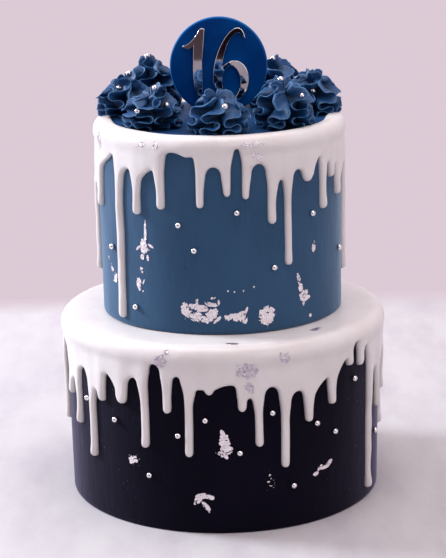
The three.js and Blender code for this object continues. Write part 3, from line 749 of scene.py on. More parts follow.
@dataclass
class Studio:
    """A pale floor, soft light from the left, from above and from the front, and dark cards.

    The cards stand beside the camera, where the silver and the disc mirror them.
    """

    floor: Sheet = Sheet("floor", -4, 4, (-4, 0), (0.495, 0))
    cards: tuple[tuple[Sheet, Colour], ...] = (
        (Sheet("dark_card", 0.0, 0.5, (-1.0, 0.112), (-1.2, 0.85)), (0.006, 0.003, 0.004)),
        (Sheet("brown_card", -0.7, 0.0, (-1.0, 0.112), (-1.2, 0.85)), (0.05, 0.035, 0.038)),
    )
    lamps: tuple[SoftLamp, ...] = (
        SoftLamp("key", -106, 26, 1.9, 0.45, 44, (0.90, 0.97, 1.08)),
        SoftLamp("overhead", 0, 88, 1.8, 1.6, 25.5, (1.0, 0.98, 0.97)),
        SoftLamp("fill", 34, 22, 2.2, 1.4, 8.5, (1.0, 0.98, 0.99)),
    )
    sky: Colour = (0.715, 0.595, 0.668)

    def build(self) -> None:
        """Adds the floor, the cards, the lights and the sky."""
        self.floor.build(FloorFinish(self.sky).make())
        for card, colour in self.cards:
            paint = NodeGraph(card.name).finish(Base_Color=(*colour, 1), Roughness=1.0,
                                                Specular_IOR_Level=0.0)
            card.build(paint).visible_camera = False
        for lamp in self.lamps:
            lamp.build()
        world = bpy.data.worlds.new("studio")
        world.use_nodes = True
        background = world.node_tree.nodes["Background"]
        background.inputs["Color"].default_value = (*self.sky, 1)
        bpy.context.scene.world = world
        bpy.context.scene.view_settings.view_transform = "Standard"


@dataclass
class Drip:
    """One drip and the arch to the right of it."""

    bearing: float
    tip: float
    arch_bearing: float
    arch_top: float
    width: float = 6.2
    lean_left: float = 0.0
    lean_right: float = 0.0
    corner: float = 0.0

    @property
    def room(self) -> float:
        """Height of the arch above the drip's tip."""
        return self.arch_top - self.tip


@dataclass
class BackDrips:
    """The rule that draws the drips round the unseen back."""

    start: float  # bearings between which the drips hang
    end: float
    count: int
    tips: Pair  # heights of the longest and the shortest drip's tip
    arches: Pair
    seed: int
    scatter: float = 0.2  # how far a drip strays, as a share of the spacing
    long_every: int = 3  # every third drip is a long one
    long_reach: Pair = (0, 0.35)  # where its tip lies between the two tips
    short_reach: Pair = (0.4, 1)
    arch_place: Pair = (0.45, 0.6)  # where an arch's peak lies between drips
    widths: Pair = (0.88, 1.12)

    def draw(self, usual_width: float) -> list[Drip]:
        """Returns the drips, in the order and with the draws of the solids."""
        random = DrawnRandom(self.seed)
        step = (self.end - self.start) / self.count
        drips = []
        for i in range(self.count):
            bearing = self.start + step * (i + self.scatter * random.draw())
            reach = self.long_reach if i % self.long_every == 1 else self.short_reach
            share = random.between(*reach)
            tip = self.tips[0] + (self.tips[1] - self.tips[0]) * share
            arch_bearing = bearing + step * random.between(*self.arch_place)
            arch_top = random.between(*self.arches)
            width = usual_width * random.between(*self.widths)
            drips.append(Drip(bearing, tip, arch_bearing, arch_top, width))
        return drips


@dataclass
class TierSizes:
    """Heights and radii of an iced tier."""

    foot: float
    top: float
    foot_radius: float
    top_radius: float

    def radius(self, z: Array | float) -> Array:
        """Returns the icing's radius at a height."""
        share = (np.asarray(z, float) - self.foot) / (self.top - self.foot)
        return self.foot_radius + (self.top_radius - self.foot_radius) * share


LOWER_TIER = TierSizes(0, 122.5, 105.8, 106.8)
UPPER_TIER = TierSizes(125.35, 253, 81, 81)


@dataclass
class IcedTier:
    """The smooth icing of one tier: its side, foot and top."""

    name: str
    sizes: TierSizes
    finish: SmoothIcing
    seed: float
    columns: int = 288
    row_height: float = 2.4
    foot_round: float = 1.2
    foot_turns: tuple[float, ...] = (0, 30, 60)  # where the foot's rings lie, in degrees
    shoulder: Pair = (3.0, 3.0)  # how far the top's corner rounds in and down
    shoulder_turns: tuple[float, ...] = (22, 45, 68, 90)
    top_shares: tuple[float, ...] = (0.84, 0.74, 0.64, 0.54, 0.44, 0.33, 0.22, 0.11)
    waves: tuple[Ripples, ...] = (  # how the scraped side strays from round
        Ripples(0.35, 38, 0, (1, 1, 0.45)), Ripples(0.0875, 11, 5, (1, 1, 0.45)))
    top_wave: float = 0.4  # depth of the waves on the top, as a share of the side's
    dip: TopDip = TopDip()
    # A second finish for the top, if any: on the upper tier a darker copy of the side's that paints
    # shade
    top_finish: SmoothIcing | None = None
    top_depth: float = 3.0  # the top's finish reaches this far down

    def build(self) -> Object:
        """Returns the tier's icing."""
        sizes = self.sizes
        bearings = np.linspace(-180, 180, self.columns, endpoint=False)
        rings = [self.scraped(around(bearings, radius, z), i)
                 for i, (radius, z) in enumerate(self.profile())]
        builder = MeshBuilder()
        builder.stack([self.dip.apply(ring) for ring in rings], np.array((0, 0, sizes.foot)),
                      self.dip.apply(np.array((0, 0, sizes.top))))
        made = builder.make(self.name, self.finish.make())
        if self.top_finish:
            made.data.materials.append(self.top_finish.make())
            lowest = (sizes.top - self.top_depth) * MM
            for face in made.data.polygons:
                face.material_index = int(face.center.z > lowest)
        return made

    def profile(self) -> list[Pair]:
        """Returns the radius and height of each ring, up the side and across the top."""
        sizes = self.sizes
        rows = max(2, round((sizes.top - sizes.foot) / self.row_height))
        heights = np.linspace(sizes.foot + self.foot_round, sizes.top - self.shoulder[1], rows)
        return [
            *((sizes.radius(sizes.foot) - self.foot_round * (1 - math.sin(turn)),
               sizes.foot + self.foot_round * (1 - math.cos(turn)))
              for turn in map(math.radians, self.foot_turns)),
            *((sizes.radius(z), z) for z in heights),
            *((sizes.top_radius - self.shoulder[0] * (1 - math.cos(turn)),
               sizes.top - self.shoulder[1] * (1 - math.sin(turn)))
              for turn in np.radians(self.shoulder_turns)),
            *((sizes.top_radius * share, sizes.top) for share in self.top_shares),
        ]

    def scraped(self, ring: Array, index: int) -> Array:
        """Strays a ring from round, more along the side than up it.

        Args:
            ring: The ring's points.
            index: Its place from the foot. The ring on the ground stays flat.

        Returns:
            The moved points.
        """
        if index == 0:
            return ring
        stray = sum(wave.at(ring, self.seed) for wave in self.waves)
        radius = np.linalg.norm(ring[:, :2], axis=1)
        on_side = radius > self.sizes.radius(ring[0, 2]) - self.foot_round
        outward = ring[:, :2] / radius[:, None]
        moved = ring.copy()
        moved[:, :2] += np.where(on_side[:, None], outward * stray[:, None], 0)
        moved[:, 2] += np.where(on_side, 0, self.top_wave * stray)
        return moved


@dataclass
class DripSheet:
    """Poured ganache: a layer over a tier's rim that runs down the side in drips."""

    name: str
    tier: TierSizes
    drips: list[Drip]
    waves: tuple[Triple, ...]
    top: float
    rim_radius: float
    rim_out: float  # the rim rounds over across this width
    rim_down: float  # and down to this far below the top
    open_height: float  # the edge stays this far below the top
    depth: float  # how far a drip stands off the icing
    ring: bool  # a ring that leaves the middle of the top open
    edge: float = 2.3  # the layer's edge rounds over within this distance
    slim: float = 0.9  # a drip's width as a share of its solid's
    tip_points: int = 9  # points along a quarter of a tip
    side_points: int = 12  # along a drip's side
    head_points: int = 15  # and along half of an arch's rounding
    arch_power: float = 2.2  # 2 is round, more is squarer
    arch_spring: float = 1.5  # height of an arch's rounding against half its width
    arch_bend: float = 5.5  # half widths above this don't make the rounding higher
    slender: Pair = (4.0, 9.0)  # height against half width of slender arches
    taper_share: Pair = (0.2, 0.5)  # of half an arch's width, and more if slender
    taper_most: Pair = (2.4, 1.1)  # most taper, and how much less if wide
    wide: Pair = (3.5, 5.5)  # half widths of wide arches
    taper_height: float = 11.0  # the drips start to widen this far below an arch
    taper_power: float = 1.5
    smoothing: int = 9  # passes that smooth the edge
    sway: float = 0.17  # how far the edge sways to the sides
    swell_share: float = 0.18  # how much thicker a drip is near its tip
    swell_height: float = 4.0  # of the thickest place above the tip
    flow: float = 0.7  # how far the stream above a drip stands out
    flow_width: float = 0.75  # its width as a share of the drip's
    flow_fade: float = 11.0  # it fades out above the arches over this height
    lumps: tuple[Ripples, ...] = (Ripples(0.55, 13, 3.7), Ripples(0.5, 26, 8.1, (1, 1, 0.6)))
    top_lumps: Ripples = Ripples(0.3, 24, 2.5)
    crease: float = 1.0  # depth of the soft crease under the rim
    crease_below: float = 1.6  # how far under the rim it lies
    crease_height: float = 2.0
    crease_bearing: float = -22.0  # where it is deepest
    crease_reach: float = 32.0  # degrees until it fades
    crease_depths: Pair = (0.15, 1.3)  # all round, and more at its deepest
    crease_gaps: Ripples = Ripples(0.8, 30, 1.9, (1, 1, 0))
    dip: TopDip = TopDip()
    step: float = 0.5  # spacing of the points along the edge
    grid: float = 2.1  # spacing of the points away from the edge
    offsets: tuple[float, ...] = (0.22, 0.6, 1.15, 1.85, 2.6)  # rows of points near the edge
    rim_turns: tuple[float, ...] = (0.1, 0.2, 0.3, 0.4, 0.5, 0.6, 0.7, 0.8, 0.9, 0.97, 1)
    rim_power: float = 2.6  # 2 is round, more is squarer
    ring_shares: tuple[float, ...] = (0.25, 0.5, 0.7, 0.84, 0.93, 0.98, 1)
    ring_power: float = 5.0  # the ring's inner edge stays high and then falls steeply
    top_shares: tuple[float, ...] = (0.95, 0.88, 0.8, 0.7, 0.58, 0.45, 0.3, 0.15)

    def __post_init__(self) -> None:
        """Sorts the drips round the rim and measures the unrolled side."""
        self.drips = sorted((replace(drip, width=drip.width * self.slim) for drip in self.drips),
                            key=lambda drip: wrap(drip.bearing))
        self.scale = math.radians(1) * self.tier.top_radius
        self.girth = 360 * self.scale
        self.rim_count = int(self.girth / self.grid)
        self.turn_start = self.top - self.open_height
        self.crest = self.rim_radius - self.rim_out
        self.lower_edge = self.outline()

    def beside(self, drip: Drip, x: Array) -> Array:
        """Returns how far places along the rim lie to the right of a drip."""
        half = self.girth / 2
        return np.mod(x - drip.bearing * self.scale + half, self.girth) - half

    def round_tip(self, drip: Drip, middle: float, side: int) -> list[Pair]:
        """Draws a quarter circle from a drip's tip to its right side, or with -1 to its left."""
        half = drip.width / 2
        return [(middle + side * half * math.sin(turn),
                 self.tier.foot + drip.tip + half * (1 - math.cos(turn)))
                for turn in np.radians(np.linspace(0, 90, self.tip_points))]

    def span_outline(self, i: int) -> list[Pair]:
        """Draws the edge from one drip's tip to the next one's, unrolled.

        Args:
            i: The drip's index round the rim.

        Returns:
            Points along the rim and above z = 0.
        """
        drip = self.drips[i]
        after = self.drips[(i + 1) % len(self.drips)]
        middle = wrap(drip.bearing) * self.scale
        ahead = (wrap(after.bearing) + (360 if i + 1 == len(self.drips) else 0)) * self.scale
        peak = middle + (drip.arch_bearing - drip.bearing) * self.scale
        top = self.tier.foot + drip.arch_top
        outline = self.round_tip(drip, middle, 1)
        outline += self.half_arch(peak, middle + drip.width / 2 - peak, outline[-1][1], top,
                                  drip.lean_left, drip.corner)
        root = self.tier.foot + after.tip + after.width / 2
        outline += self.half_arch(peak, ahead - after.width / 2 - peak, root, top,
                                  drip.lean_right, drip.corner)[::-1]
        return outline + self.round_tip(after, ahead, -1)[:0:-1]

    def half_arch(self, peak: float, reach: float, root: float, top: float, lean: float,
                  corner: float) -> list[Pair]:
        """Draws one side of an arch, from its root up to its top.

        Args:
            peak: Where the arch is highest, along the rim.
            reach: From there to the side of the drip, negative to the left.
            root: Height where the drip's side starts.
            top: Height of the arch.
            lean: How far the arch falls away towards the drip before it rounds down.
            corner: Height of the rounding, or 0 where it is as usual.

        Returns:
            Points from the root to the top.
        """
        width = abs(reach)
        slender = float(smoothstep((top - root) / width, *self.slender))
        least, more = self.taper_share
        most, less = self.taper_most
        taper = min(width * (least + more * slender),
                    most - less * float(smoothstep(width, *self.wide)))
        half = width - taper
        head = min(top - root, corner or self.arch_spring * min(half, self.arch_bend))
        lean = min(lean, top - root - head)
        spring = top - head - lean
        points = []
        for z in np.linspace(root, spring, self.side_points)[:-1]:
            near = np.clip(1 - (spring - z) / self.taper_height, 0, 1)
            points.append((width - taper * near ** self.taper_power, z))
        for share in np.sin(np.radians(np.linspace(90, 0, self.head_points))):
            rise = (1 - share ** self.arch_power) ** (1 / self.arch_power)
            points.append((half * share, top - lean * share - head * (1 - rise)))
        return [(peak + math.copysign(aside, reach), z) for aside, z in points]

    def outline(self) -> Array:
        """Draws the whole lower edge, evenly spaced, rounded and a little uneven.

        Returns:
            Points along the rim, from an arch's top at the back round to the same one.
        """
        girth = self.girth
        raw = np.array([p for i in range(len(self.drips)) for p in self.span_outline(i)])
        apart = np.linalg.norm(np.diff(raw, axis=0, prepend=raw[:1] - 1), axis=1) > 1e-6
        raw = raw[apart]
        raw = raw[:-1] if np.allclose(raw[-1] - raw[0], (girth, 0), atol=1e-4) else raw
        closed = np.vstack((raw, raw[0] + (girth, 0)))
        length = np.concatenate(((0,), np.cumsum(np.linalg.norm(np.diff(closed, axis=0), axis=1))))
        count = int(length[-1] / self.step)
        along = np.linspace(0, length[-1], count, endpoint=False)
        x, z = (np.interp(along, length, closed[:, k]) for k in (0, 1))
        drift = x - girth * np.arange(count) / count
        for _ in range(self.smoothing):
            drift = (np.roll(drift, 1) + 2 * drift + np.roll(drift, -1)) / 4
            z = (np.roll(z, 1) + 2 * z + np.roll(z, -1)) / 4
        x = drift + girth * np.arange(count) / count
        for bearing, depth, half in self.waves:
            away = wrap(x / self.scale - bearing) / half
            z = z - depth * np.exp(-away ** 2)
        x = x + self.bulge(x, z) + self.sway * np.sin(0.11 * z + 0.9 * np.sin(x * 0.05))
        back = np.abs(np.mod(x / self.scale, 360) - 180) < 9
        start = int(np.argmax(np.where(back, z, -1)))
        x, z = np.roll(x, -start), np.roll(z, -start)
        x[count - start:] += girth
        return np.vstack((np.stack((x, z), 1), (x[0] + girth, z[0])))

    def bulge(self, x: Array, z: Array) -> Array:
        """Widens each drip near its tip and narrows it above, as a slow drop hangs.

        Args:
            x: Places along the rim.
            z: Heights.

        Returns:
            How far each point moves along the rim.
        """
        moved = np.zeros_like(x)
        for drip in self.drips:
            aside, above = self.beside(drip, x), z - self.tier.foot - drip.tip
            near = (np.abs(aside) < 0.8 * drip.width) & (above < drip.room)
            neck = 0.02 + 0.05 * math.sin(7.7 * drip.bearing)
            shape = -0.02 * np.exp(-((above - 3) / 3) ** 2) - neck * smoothstep(above, 3, 10)
            moved += np.where(near, aside * shape * (1 - smoothstep(above, 15, 50)), 0)
        return moved

    def fill(self, edge: Array) -> tuple[Array, list[Key], Array]:
        """Fills the side between the edge and the turn over the rim with triangles.

        Args:
            edge: The lower edge.

        Returns:
            Points, triangles, and each point's distance from the edge.
        """
        start, end = edge[0], edge[-1]
        climb = np.arange(start[1] + self.grid, self.turn_start - self.grid / 2, self.grid)
        rim = start[0] + self.girth * np.arange(self.rim_count, -1, -1) / self.rim_count
        border = np.vstack((
            edge,
            np.stack((np.full_like(climb, end[0]), climb), 1),
            np.stack((rim, np.full_like(rim, self.turn_start)), 1),
            np.stack((np.full_like(climb, start[0]), climb[::-1]), 1),
        ))
        tree = self.edge_finder(edge)
        points = np.vstack((border, self.inner_points(edge, tree)))
        made = delaunay_2d_cdt([Vector(p) for p in points], [], [list(range(len(border)))], 1,
                               1e-4)
        flat = np.array([tuple(p) for p in made[0]])
        distance = np.array([tree.find((x, z, 0))[2] for x, z in flat])
        on_edge = np.array([any(source < len(edge) for source in sources) for sources in made[3]])
        distance[on_edge] = 0
        return flat, [tuple(face) for face in made[2]], distance

    def edge_finder(self, edge: Array) -> KDTree:
        """Returns a tree that finds the nearest point of the edge, past its ends too."""
        tree = KDTree(3 * len(edge))
        for turn in (-1, 0, 1):
            for i, (x, z) in enumerate(edge):
                tree.insert((x + turn * self.girth, z, 0), i)
        tree.balance()
        return tree

    def inner_points(self, edge: Array, tree: KDTree) -> Array:
        """Scatters points inside the edge: close rows along it, then an even grid.

        Args:
            edge: The lower edge.
            tree: Finds the nearest point of the edge.

        Returns:
            The points.
        """
        along = np.gradient(edge, axis=0)
        inward = np.stack((-along[:, 1], along[:, 0]), 1)
        inward /= np.linalg.norm(inward, axis=1)[:, None]
        found = []
        for k, offset in enumerate(self.offsets):
            for x, z in (edge + inward * offset)[k % 2:-1:2]:
                away = tree.find((x, z, 0))[2]
                if away > 0.93 * offset and z < self.turn_start - 0.8:
                    found.append((x, z))
        reach = self.offsets[-1] + 0.6 * self.grid
        rise = 0.87 * self.grid
        left, right = edge[0, 0], edge[-1, 0]
        heights = np.arange(self.turn_start - rise, edge[:, 1].min(), -rise)
        for row, z in enumerate(heights):
            shift = 0.5 * self.grid * (1 - row % 2)
            for x in np.arange(left + shift + self.grid * 0.5, right, self.grid):
                place = tree.find((x, z, 0))
                side = np.dot((x - place[0][0], z - place[0][1]), inward[place[1]])
                if place[2] > reach and side > 0 and left + 0.6 < x < right - 0.6:
                    found.append((x, z))
        return np.array(found)

    def front_radius(self, flat: Array, distance: Array) -> Array:
        """Works out how far out the layer's face stands.

        Args:
            flat: Points on the unrolled side.
            distance: How far each is from the edge.

        Returns:
            Radii, with the edge itself pressed into the icing.
        """
        x, z = flat[:, 0], flat[:, 1]
        full = np.minimum(distance / self.edge, 1)
        rounded = np.sqrt(1 - (1 - full) ** 2)
        icing = self.tier.radius(z)
        side = icing + self.thickness(x, z, full) * rounded
        rim = icing + (self.rim(z) - icing) * rounded
        share = smoothstep(z, self.top - self.rim_down - 4, self.turn_start)
        return np.where(distance == 0, icing - EMBED, side + (rim - side) * share)

    def thickness(self, x: Array, z: Array, full: Array) -> Array:
        """Works out how thick the layer is on the side.

        Args:
            x: Places along the rim.
            z: Heights.
            full: 0 at the edge and 1 where the edge's rounding ends.

        Returns:
            The thickness at each place, as if there were no edge.
        """
        swollen = np.zeros_like(x)
        flow = np.zeros_like(x)
        for drip in self.drips:
            aside, above = self.beside(drip, x), z - self.tier.foot - drip.tip
            hang = np.exp(-((above - self.swell_height) / 4.5) ** 2) * (np.abs(aside) < drip.width)
            swollen = np.maximum(swollen, hang)
            fade = np.exp(-np.maximum(above - drip.room, 0) / self.flow_fade)
            flow = np.maximum(flow, np.exp(-(aside / (self.flow_width * drip.width)) ** 2) * fade)
        places = around(x / self.scale, self.tier.top_radius, z)
        body = self.depth * (0.86 + self.swell_share * swollen) + self.flow * flow
        body = body + sum(lumps.at(places) for lumps in self.lumps) * full
        from_crease = z - self.top + self.rim_down + self.crease_below
        below = np.exp(-(from_crease / self.crease_height) ** 2)
        turned = (x / self.scale - self.crease_bearing) / self.crease_reach
        usual, more = self.crease_depths
        return body - self.crease * below * (
            usual + more * np.exp(-turned ** 2) + self.crease_gaps.at(places))

    def rim(self, z: Array | float) -> Array:
        """Returns the radius of the rounded rim at a height."""
        share = np.clip((np.asarray(z, float) - self.top) / self.rim_down + 1, 0, 1)
        return self.crest + self.rim_out * (1 - share ** self.rim_power) ** (1 / self.rim_power)

    def ring_edge(self, bearings: Array) -> Array:
        """Returns the radius of the ring's inner edge, eased between the listed places."""
        stops = [*RING_EDGE, (RING_EDGE[0][0] + 360, RING_EDGE[0][1])]
        wrapped = wrap(bearings)
        result = np.zeros_like(wrapped)
        for (low, start), (high, end) in zip(stops, stops[1:]):
            here = (wrapped >= low) & (wrapped < high)
            result[here] = start + (end - start) * smoothstep(wrapped[here], low, high)
        return result

    def top_rings(self, bearings: Array) -> list[Array]:
        """Lays rings over the turn and across the top.

        Args:
            bearings: Where the rings' points stand.

        Returns:
            The rings, from the turn inwards.
        """
        power = self.rim_power / 2
        start = math.asin((1 - self.open_height / self.rim_down) ** power)
        rings = []
        for share in self.rim_turns:
            turn = start + (math.pi / 2 - start) * share
            rings.append(around(bearings,
                                self.crest + self.rim_out * abs(math.cos(turn)) ** (1 / power),
                                self.top + self.rim_down * (math.sin(turn) ** (1 / power) - 1)))
        if self.ring:
            inner = self.ring_edge(bearings)
            low = self.tier.top - EMBED
            for share in self.ring_shares:
                height = low + (self.top - low) * (1 - share ** self.ring_power) ** 0.5
                rings.append(around(bearings, self.crest + (inner - self.crest) * share, height))
        else:
            for share in self.top_shares:
                rings.append(around(bearings, self.crest * share, self.top))
        return rings

    def uneven_top(self, ring: Array) -> Array:
        """Lifts and sinks a ring a little, as a poured layer sets."""
        moved = ring.copy()
        moved[:, 2] += self.top_lumps.at(ring) * smoothstep(ring[:, 2], self.turn_start, self.top)
        return moved

    def lowest(self, bearing: float, reach: float) -> float:
        """Returns the edge's lowest height above the tier's foot within reach of a bearing."""
        away = wrap(self.lower_edge[:, 0] / self.scale - bearing)
        near = np.abs(away) * self.scale < reach
        return float(self.lower_edge[near, 1].min()) - self.tier.foot

    def build(self, material: Material) -> Object:
        """Returns the layer as one closed skin."""
        edge = self.lower_edge
        flat, triangles, distance = self.fill(edge)
        bearings = flat[:, 0] / self.scale
        builder = MeshBuilder()
        front = builder.add(around(bearings, self.front_radius(flat, distance), flat[:, 1]))
        back = builder.add(around(bearings, self.tier.radius(flat[:, 1]) - EMBED, flat[:, 1]))
        for a, b, c in triangles:
            builder.faces += [tuple(map(int, three)) for three in (
                (front[a], front[b], front[c]), (back[a], back[c], back[b]))]
        rim = edge[0, 0] / self.scale + 360 * np.arange(self.rim_count) / self.rim_count
        over = [around(rim, self.rim(self.turn_start), self.turn_start),
                *(self.uneven_top(ring) for ring in self.top_rings(rim))]
        over = [builder.add(ring) for ring in over]
        builder.ladder(over)
        low = self.tier.top - EMBED
        profile = [(self.tier.radius(self.turn_start) - EMBED, self.turn_start),
                   (self.tier.top_radius - 1.6, low - 2.6), (self.crest - EMBED, low)]
        if self.ring:
            profile.append((self.ring_edge(rim), low))
        under = [builder.add(around(rim, radius, z)) for radius, z in profile]
        if not self.ring:
            builder.cap(over[-1], np.array((0, 0, self.top)), True)
        builder.ladder([ring[::-1] for ring in under])
        if not self.ring:
            builder.cap(under[-1], np.array((0, 0, low)), False)
        builder.points = [self.dip.apply(points) for points in builder.points]
        return builder.make(self.name, material, weld=0.02)


@dataclass(frozen=True)
class BackPlaces:
    """The rule that scatters pearls or leaf round the unseen back of a tier."""

    count: int
    first: float
    spacing: float
    heights: Pair
    clearance: float  # between a place and the drips above it
    scatter: float = 0.5

    def draw(self, sheet: DripSheet, random: DrawnRandom) -> list[Pair]:
        """Returns bearings and heights above the tier's foot, as the solids draw them."""
        places = []
        for i in range(self.count):
            bearing = self.first + self.spacing * (i + self.scatter * random.draw())
            height = random.between(*self.heights)
            room = sheet.lowest(bearing, self.clearance) - self.clearance
            places.append((bearing, min(height, room)))
        return places


@dataclass
class PipedSwirl:
    """A ruffle of icing piped with a star nozzle: thin fins that buckle as they pile up."""

    name: str
    x: float
    y: float
    height: float
    point: float  # how much narrower the top is than usual, as a share
    seed: int
    foot: float = UPPER_TIER.top
    radius: float = 20.0
    fins: int = 8
    rows: int = 132
    fold: float = 12.6  # mean height of one whole fold to and fro
    ease: float = 0.25  # how much tighter the folds are near the foot
    bends: Pair = (110.0, 86.0)  # how far an edge swings from upright, low and high up
    valley: float = 0.40  # depth between fins, as a share of the radius
    twist: float = 14.0
    crown: float = 0.13  # depth of the top's middle, as a share of the height
    curl: float = 52.0  # how far the fins' upper ends roll sideways, in degrees
    plump: float = 0.8  # how much thicker the fins grow near the top
    starts: Pair = (-0.8, 0.8)  # limits of the draws for each fin: start of its folds, radians
    strengths: Pair = (0.86, 1.08)  # how strongly it folds
    reaches: Pair = (0.92, 1.04)  # how far out it reaches
    rises: Pair = (-0.12, 0.03)  # how much higher it stands
    rolls: Pair = (0.2, 1.1)  # how far its end rolls
    dents: Ripples = Ripples(0.4, 3.6)
    teeth: Ripples = Ripples(0.25, 1.3, 5.5)  # ragged edges of the fins
    dip: TopDip = TopDip()
    flank: tuple[Pair, ...] = (
        (0, 0.0), (0.13, 0.03), (0.25, 0.12), (0.33, 0.27), (0.385, 0.46), (0.42, 0.65),
        (0.444, 0.82), (0.462, 0.93), (0.481, 0.985), (0.5, 1.0),
    )
    dome: tuple[Pair, ...] = (
        (0, 0.93), (0.08, 0.99), (0.2, 1.0), (0.38, 1.0), (0.52, 0.985), (0.64, 0.95),
        (0.75, 0.89), (0.85, 0.80), (0.93, 0.69), (1, 0.57),
    )
    # How the fins' upper ends turn over inwards: shares of radius, and of height above the top
    ears: tuple[Pair, ...] = (
        (0.92, 0.04), (0.82, 0.07), (0.71, 0.085), (0.6, 0.085), (0.49, 0.07), (0.38, 0.04),
        (0.28, 0.0), (0.18, -0.045), (0.09, -0.07),
    )

    def wander(self, random: np.random.Generator, limits: Pair, places: Array) -> Array:
        """Draws one number for each fin and eases between them round the swirl."""
        values = random.uniform(*limits, self.fins)
        crests = np.arange(-1, self.fins + 1) + 0.5
        return np.interp(places, crests, np.concatenate((values[-1:], values, values[:1])))

    def ruffle(self, phase: Array, bend: Array) -> tuple[Array, ...]:
        """Follows fins' edges up the swirl as they swing to and fro.

        Args:
            phase: Where in a fold each column starts, in radians.
            bend: How strongly each column folds, about 1.

        Returns:
            The mean rise of each row from 0 to 1, then each column's own rise and how far it
            strays sideways, both as shares of the height.
        """
        folds = self.height / self.fold
        lead = round(self.rows / folds)
        along = (np.arange(self.rows + lead) - lead)[:, None] / (self.rows - 1)
        low, high = map(math.radians, self.bends)
        swing = (low + (high - low) * smoothstep(along, 0.45, 0.95)) * bend[None, :]
        told = folds * along * (1 + self.ease * (1 - along))
        turn = swing * np.sin(2 * math.pi * told + phase[None, :])
        every = np.linspace(0, 2 * math.pi, 48, endpoint=False)
        mean = np.cos(swing.mean(1)[:, None] * np.sin(every)[None, :]).mean(1)
        mean, climb, aside = (np.cumsum(part, 0) for part in (mean, np.cos(turn), np.sin(turn)))
        climb = climb - mean[:, None]
        climb, aside = (part - part[:lead].mean(0) for part in (climb, aside))
        total = mean[-1] - mean[lead]
        rise = (mean[lead:] - mean[lead]) / total
        return rise[:, None], rise[:, None] + climb[lead:] / total, aside[lead:] / total

    def surface(self) -> tuple[Array, Array]:
        """Works out the swirl's skin.

        Returns:
            Points by row and column, and how near each is to a fin's edge.
        """
        random = np.random.default_rng(self.seed)
        columns = [*self.flank, *((1 - a, r) for a, r in self.flank[-2:0:-1])]
        places = np.array([i + a for i in range(self.fins) for a, _ in columns])
        reach = np.array([r for _, r in columns] * self.fins)[None, :]
        phase = self.wander(random, self.starts, places) + random.uniform(0, 2 * math.pi)
        rise, climb, aside = self.ruffle(phase, self.wander(random, self.strengths, places))
        size = self.wander(random, self.reaches, places)[None, :]
        tall = self.wander(random, self.rises, places)[None, :]
        reach = reach ** (1 - self.plump * smoothstep(rise, 0.55, 1.0))
        grip = reach ** 0.75
        calm = 1 - 0.3 * smoothstep(rise, 0.85, 1.0)
        level = rise + grip * (climb - rise) * calm
        dome = np.interp(np.clip(level, 0, 1), *zip(*self.dome))
        dome = dome * (1 - self.point * smoothstep(level, 0.35, 1.0))
        full = size * (1 + 0.05 * np.sin(14 * rise + 2 * phase[None, :]))
        valley = self.valley * (1 - 0.1 * smoothstep(rise, 0.6, 1.0))
        radius = self.radius * dome * (valley + (full - valley) * reach)
        stray = np.degrees(self.height * grip * aside * calm / np.maximum(radius, 4))
        angle = 360 * places[None, :] / self.fins + stray + self.twist * rise
        high = smoothstep(rise, 0.55, 1.0)
        lift = self.height * (level + tall * high - self.crown * (1 - reach) ** 1.5 * high)
        roll = self.curl * self.wander(random, self.rolls, places)
        angle, radius, lift = self.turn_over(angle, radius, lift, reach[-1], roll)
        points = around(angle, radius, np.maximum(lift, 0) + self.foot - EMBED)
        points += (self.x, self.y, self.dip.amount(self.y))
        ends = np.broadcast_to(reach[-1], (len(self.ears), len(places)))
        return points, np.vstack((reach, ends))

    def turn_over(self, angle: Array, radius: Array, lift: Array, end: Array,
                  roll: Array) -> tuple[Array, ...]:
        """Adds rows where the fins' upper ends turn over inwards.

        Args:
            angle: Bearings by row and column.
            radius: Distances from the axis.
            lift: Heights above the foot.
            end: How near each column is to a fin's edge.
            roll: How far each column rolls sideways, in degrees.

        Returns:
            The first three with the new rows, at the swirl's full height.
        """
        last = self.rows - 1
        lowest = (0.95 - self.crown) * self.height
        for share, above in self.ears:
            over = lift[last] + self.height * above * np.minimum(1, 0.3 + end)
            angle = np.vstack((angle, angle[last] + roll * (1 - share)))
            radius = np.vstack((radius, share * radius[last]))
            lift = np.vstack((lift, np.maximum(over, lowest)))
        return angle, radius, lift * (self.height / lift.max())

    def build(self, material: Material) -> Object:
        """Returns the swirl."""
        points, edge = self.surface()
        flat = points.reshape(-1, 3)
        dents = np.stack([self.dents.at(flat, self.seed + k) for k in (0.3, 11.7, 23.1)], 1)
        teeth = self.teeth.at(flat, self.seed)[:, None] * (edge.reshape(-1, 1) > 0.95)
        outward = flat - (self.x, self.y, self.foot + 0.3 * self.height)
        outward /= np.linalg.norm(outward, axis=1)[:, None]
        flat = flat + dents + teeth * outward
        ground = self.foot - EMBED + self.dip.amount(self.y)
        flat[:, 2] = np.maximum(flat[:, 2], ground)
        rings = flat.reshape(points.shape)
        builder = MeshBuilder()
        builder.stack(rings, np.array((self.x, self.y, ground)),
                      np.array((self.x, self.y, rings[-1, :, 2].min())))
        # Nearness to a fin's edge: the piped finish paints highlights at thin edges and shade in
        # the valleys
        near = np.concatenate((edge.reshape(-1), (0.0, 0.0)))
        return builder.make(f"{self.name}_icing", material, values={"edge": near})


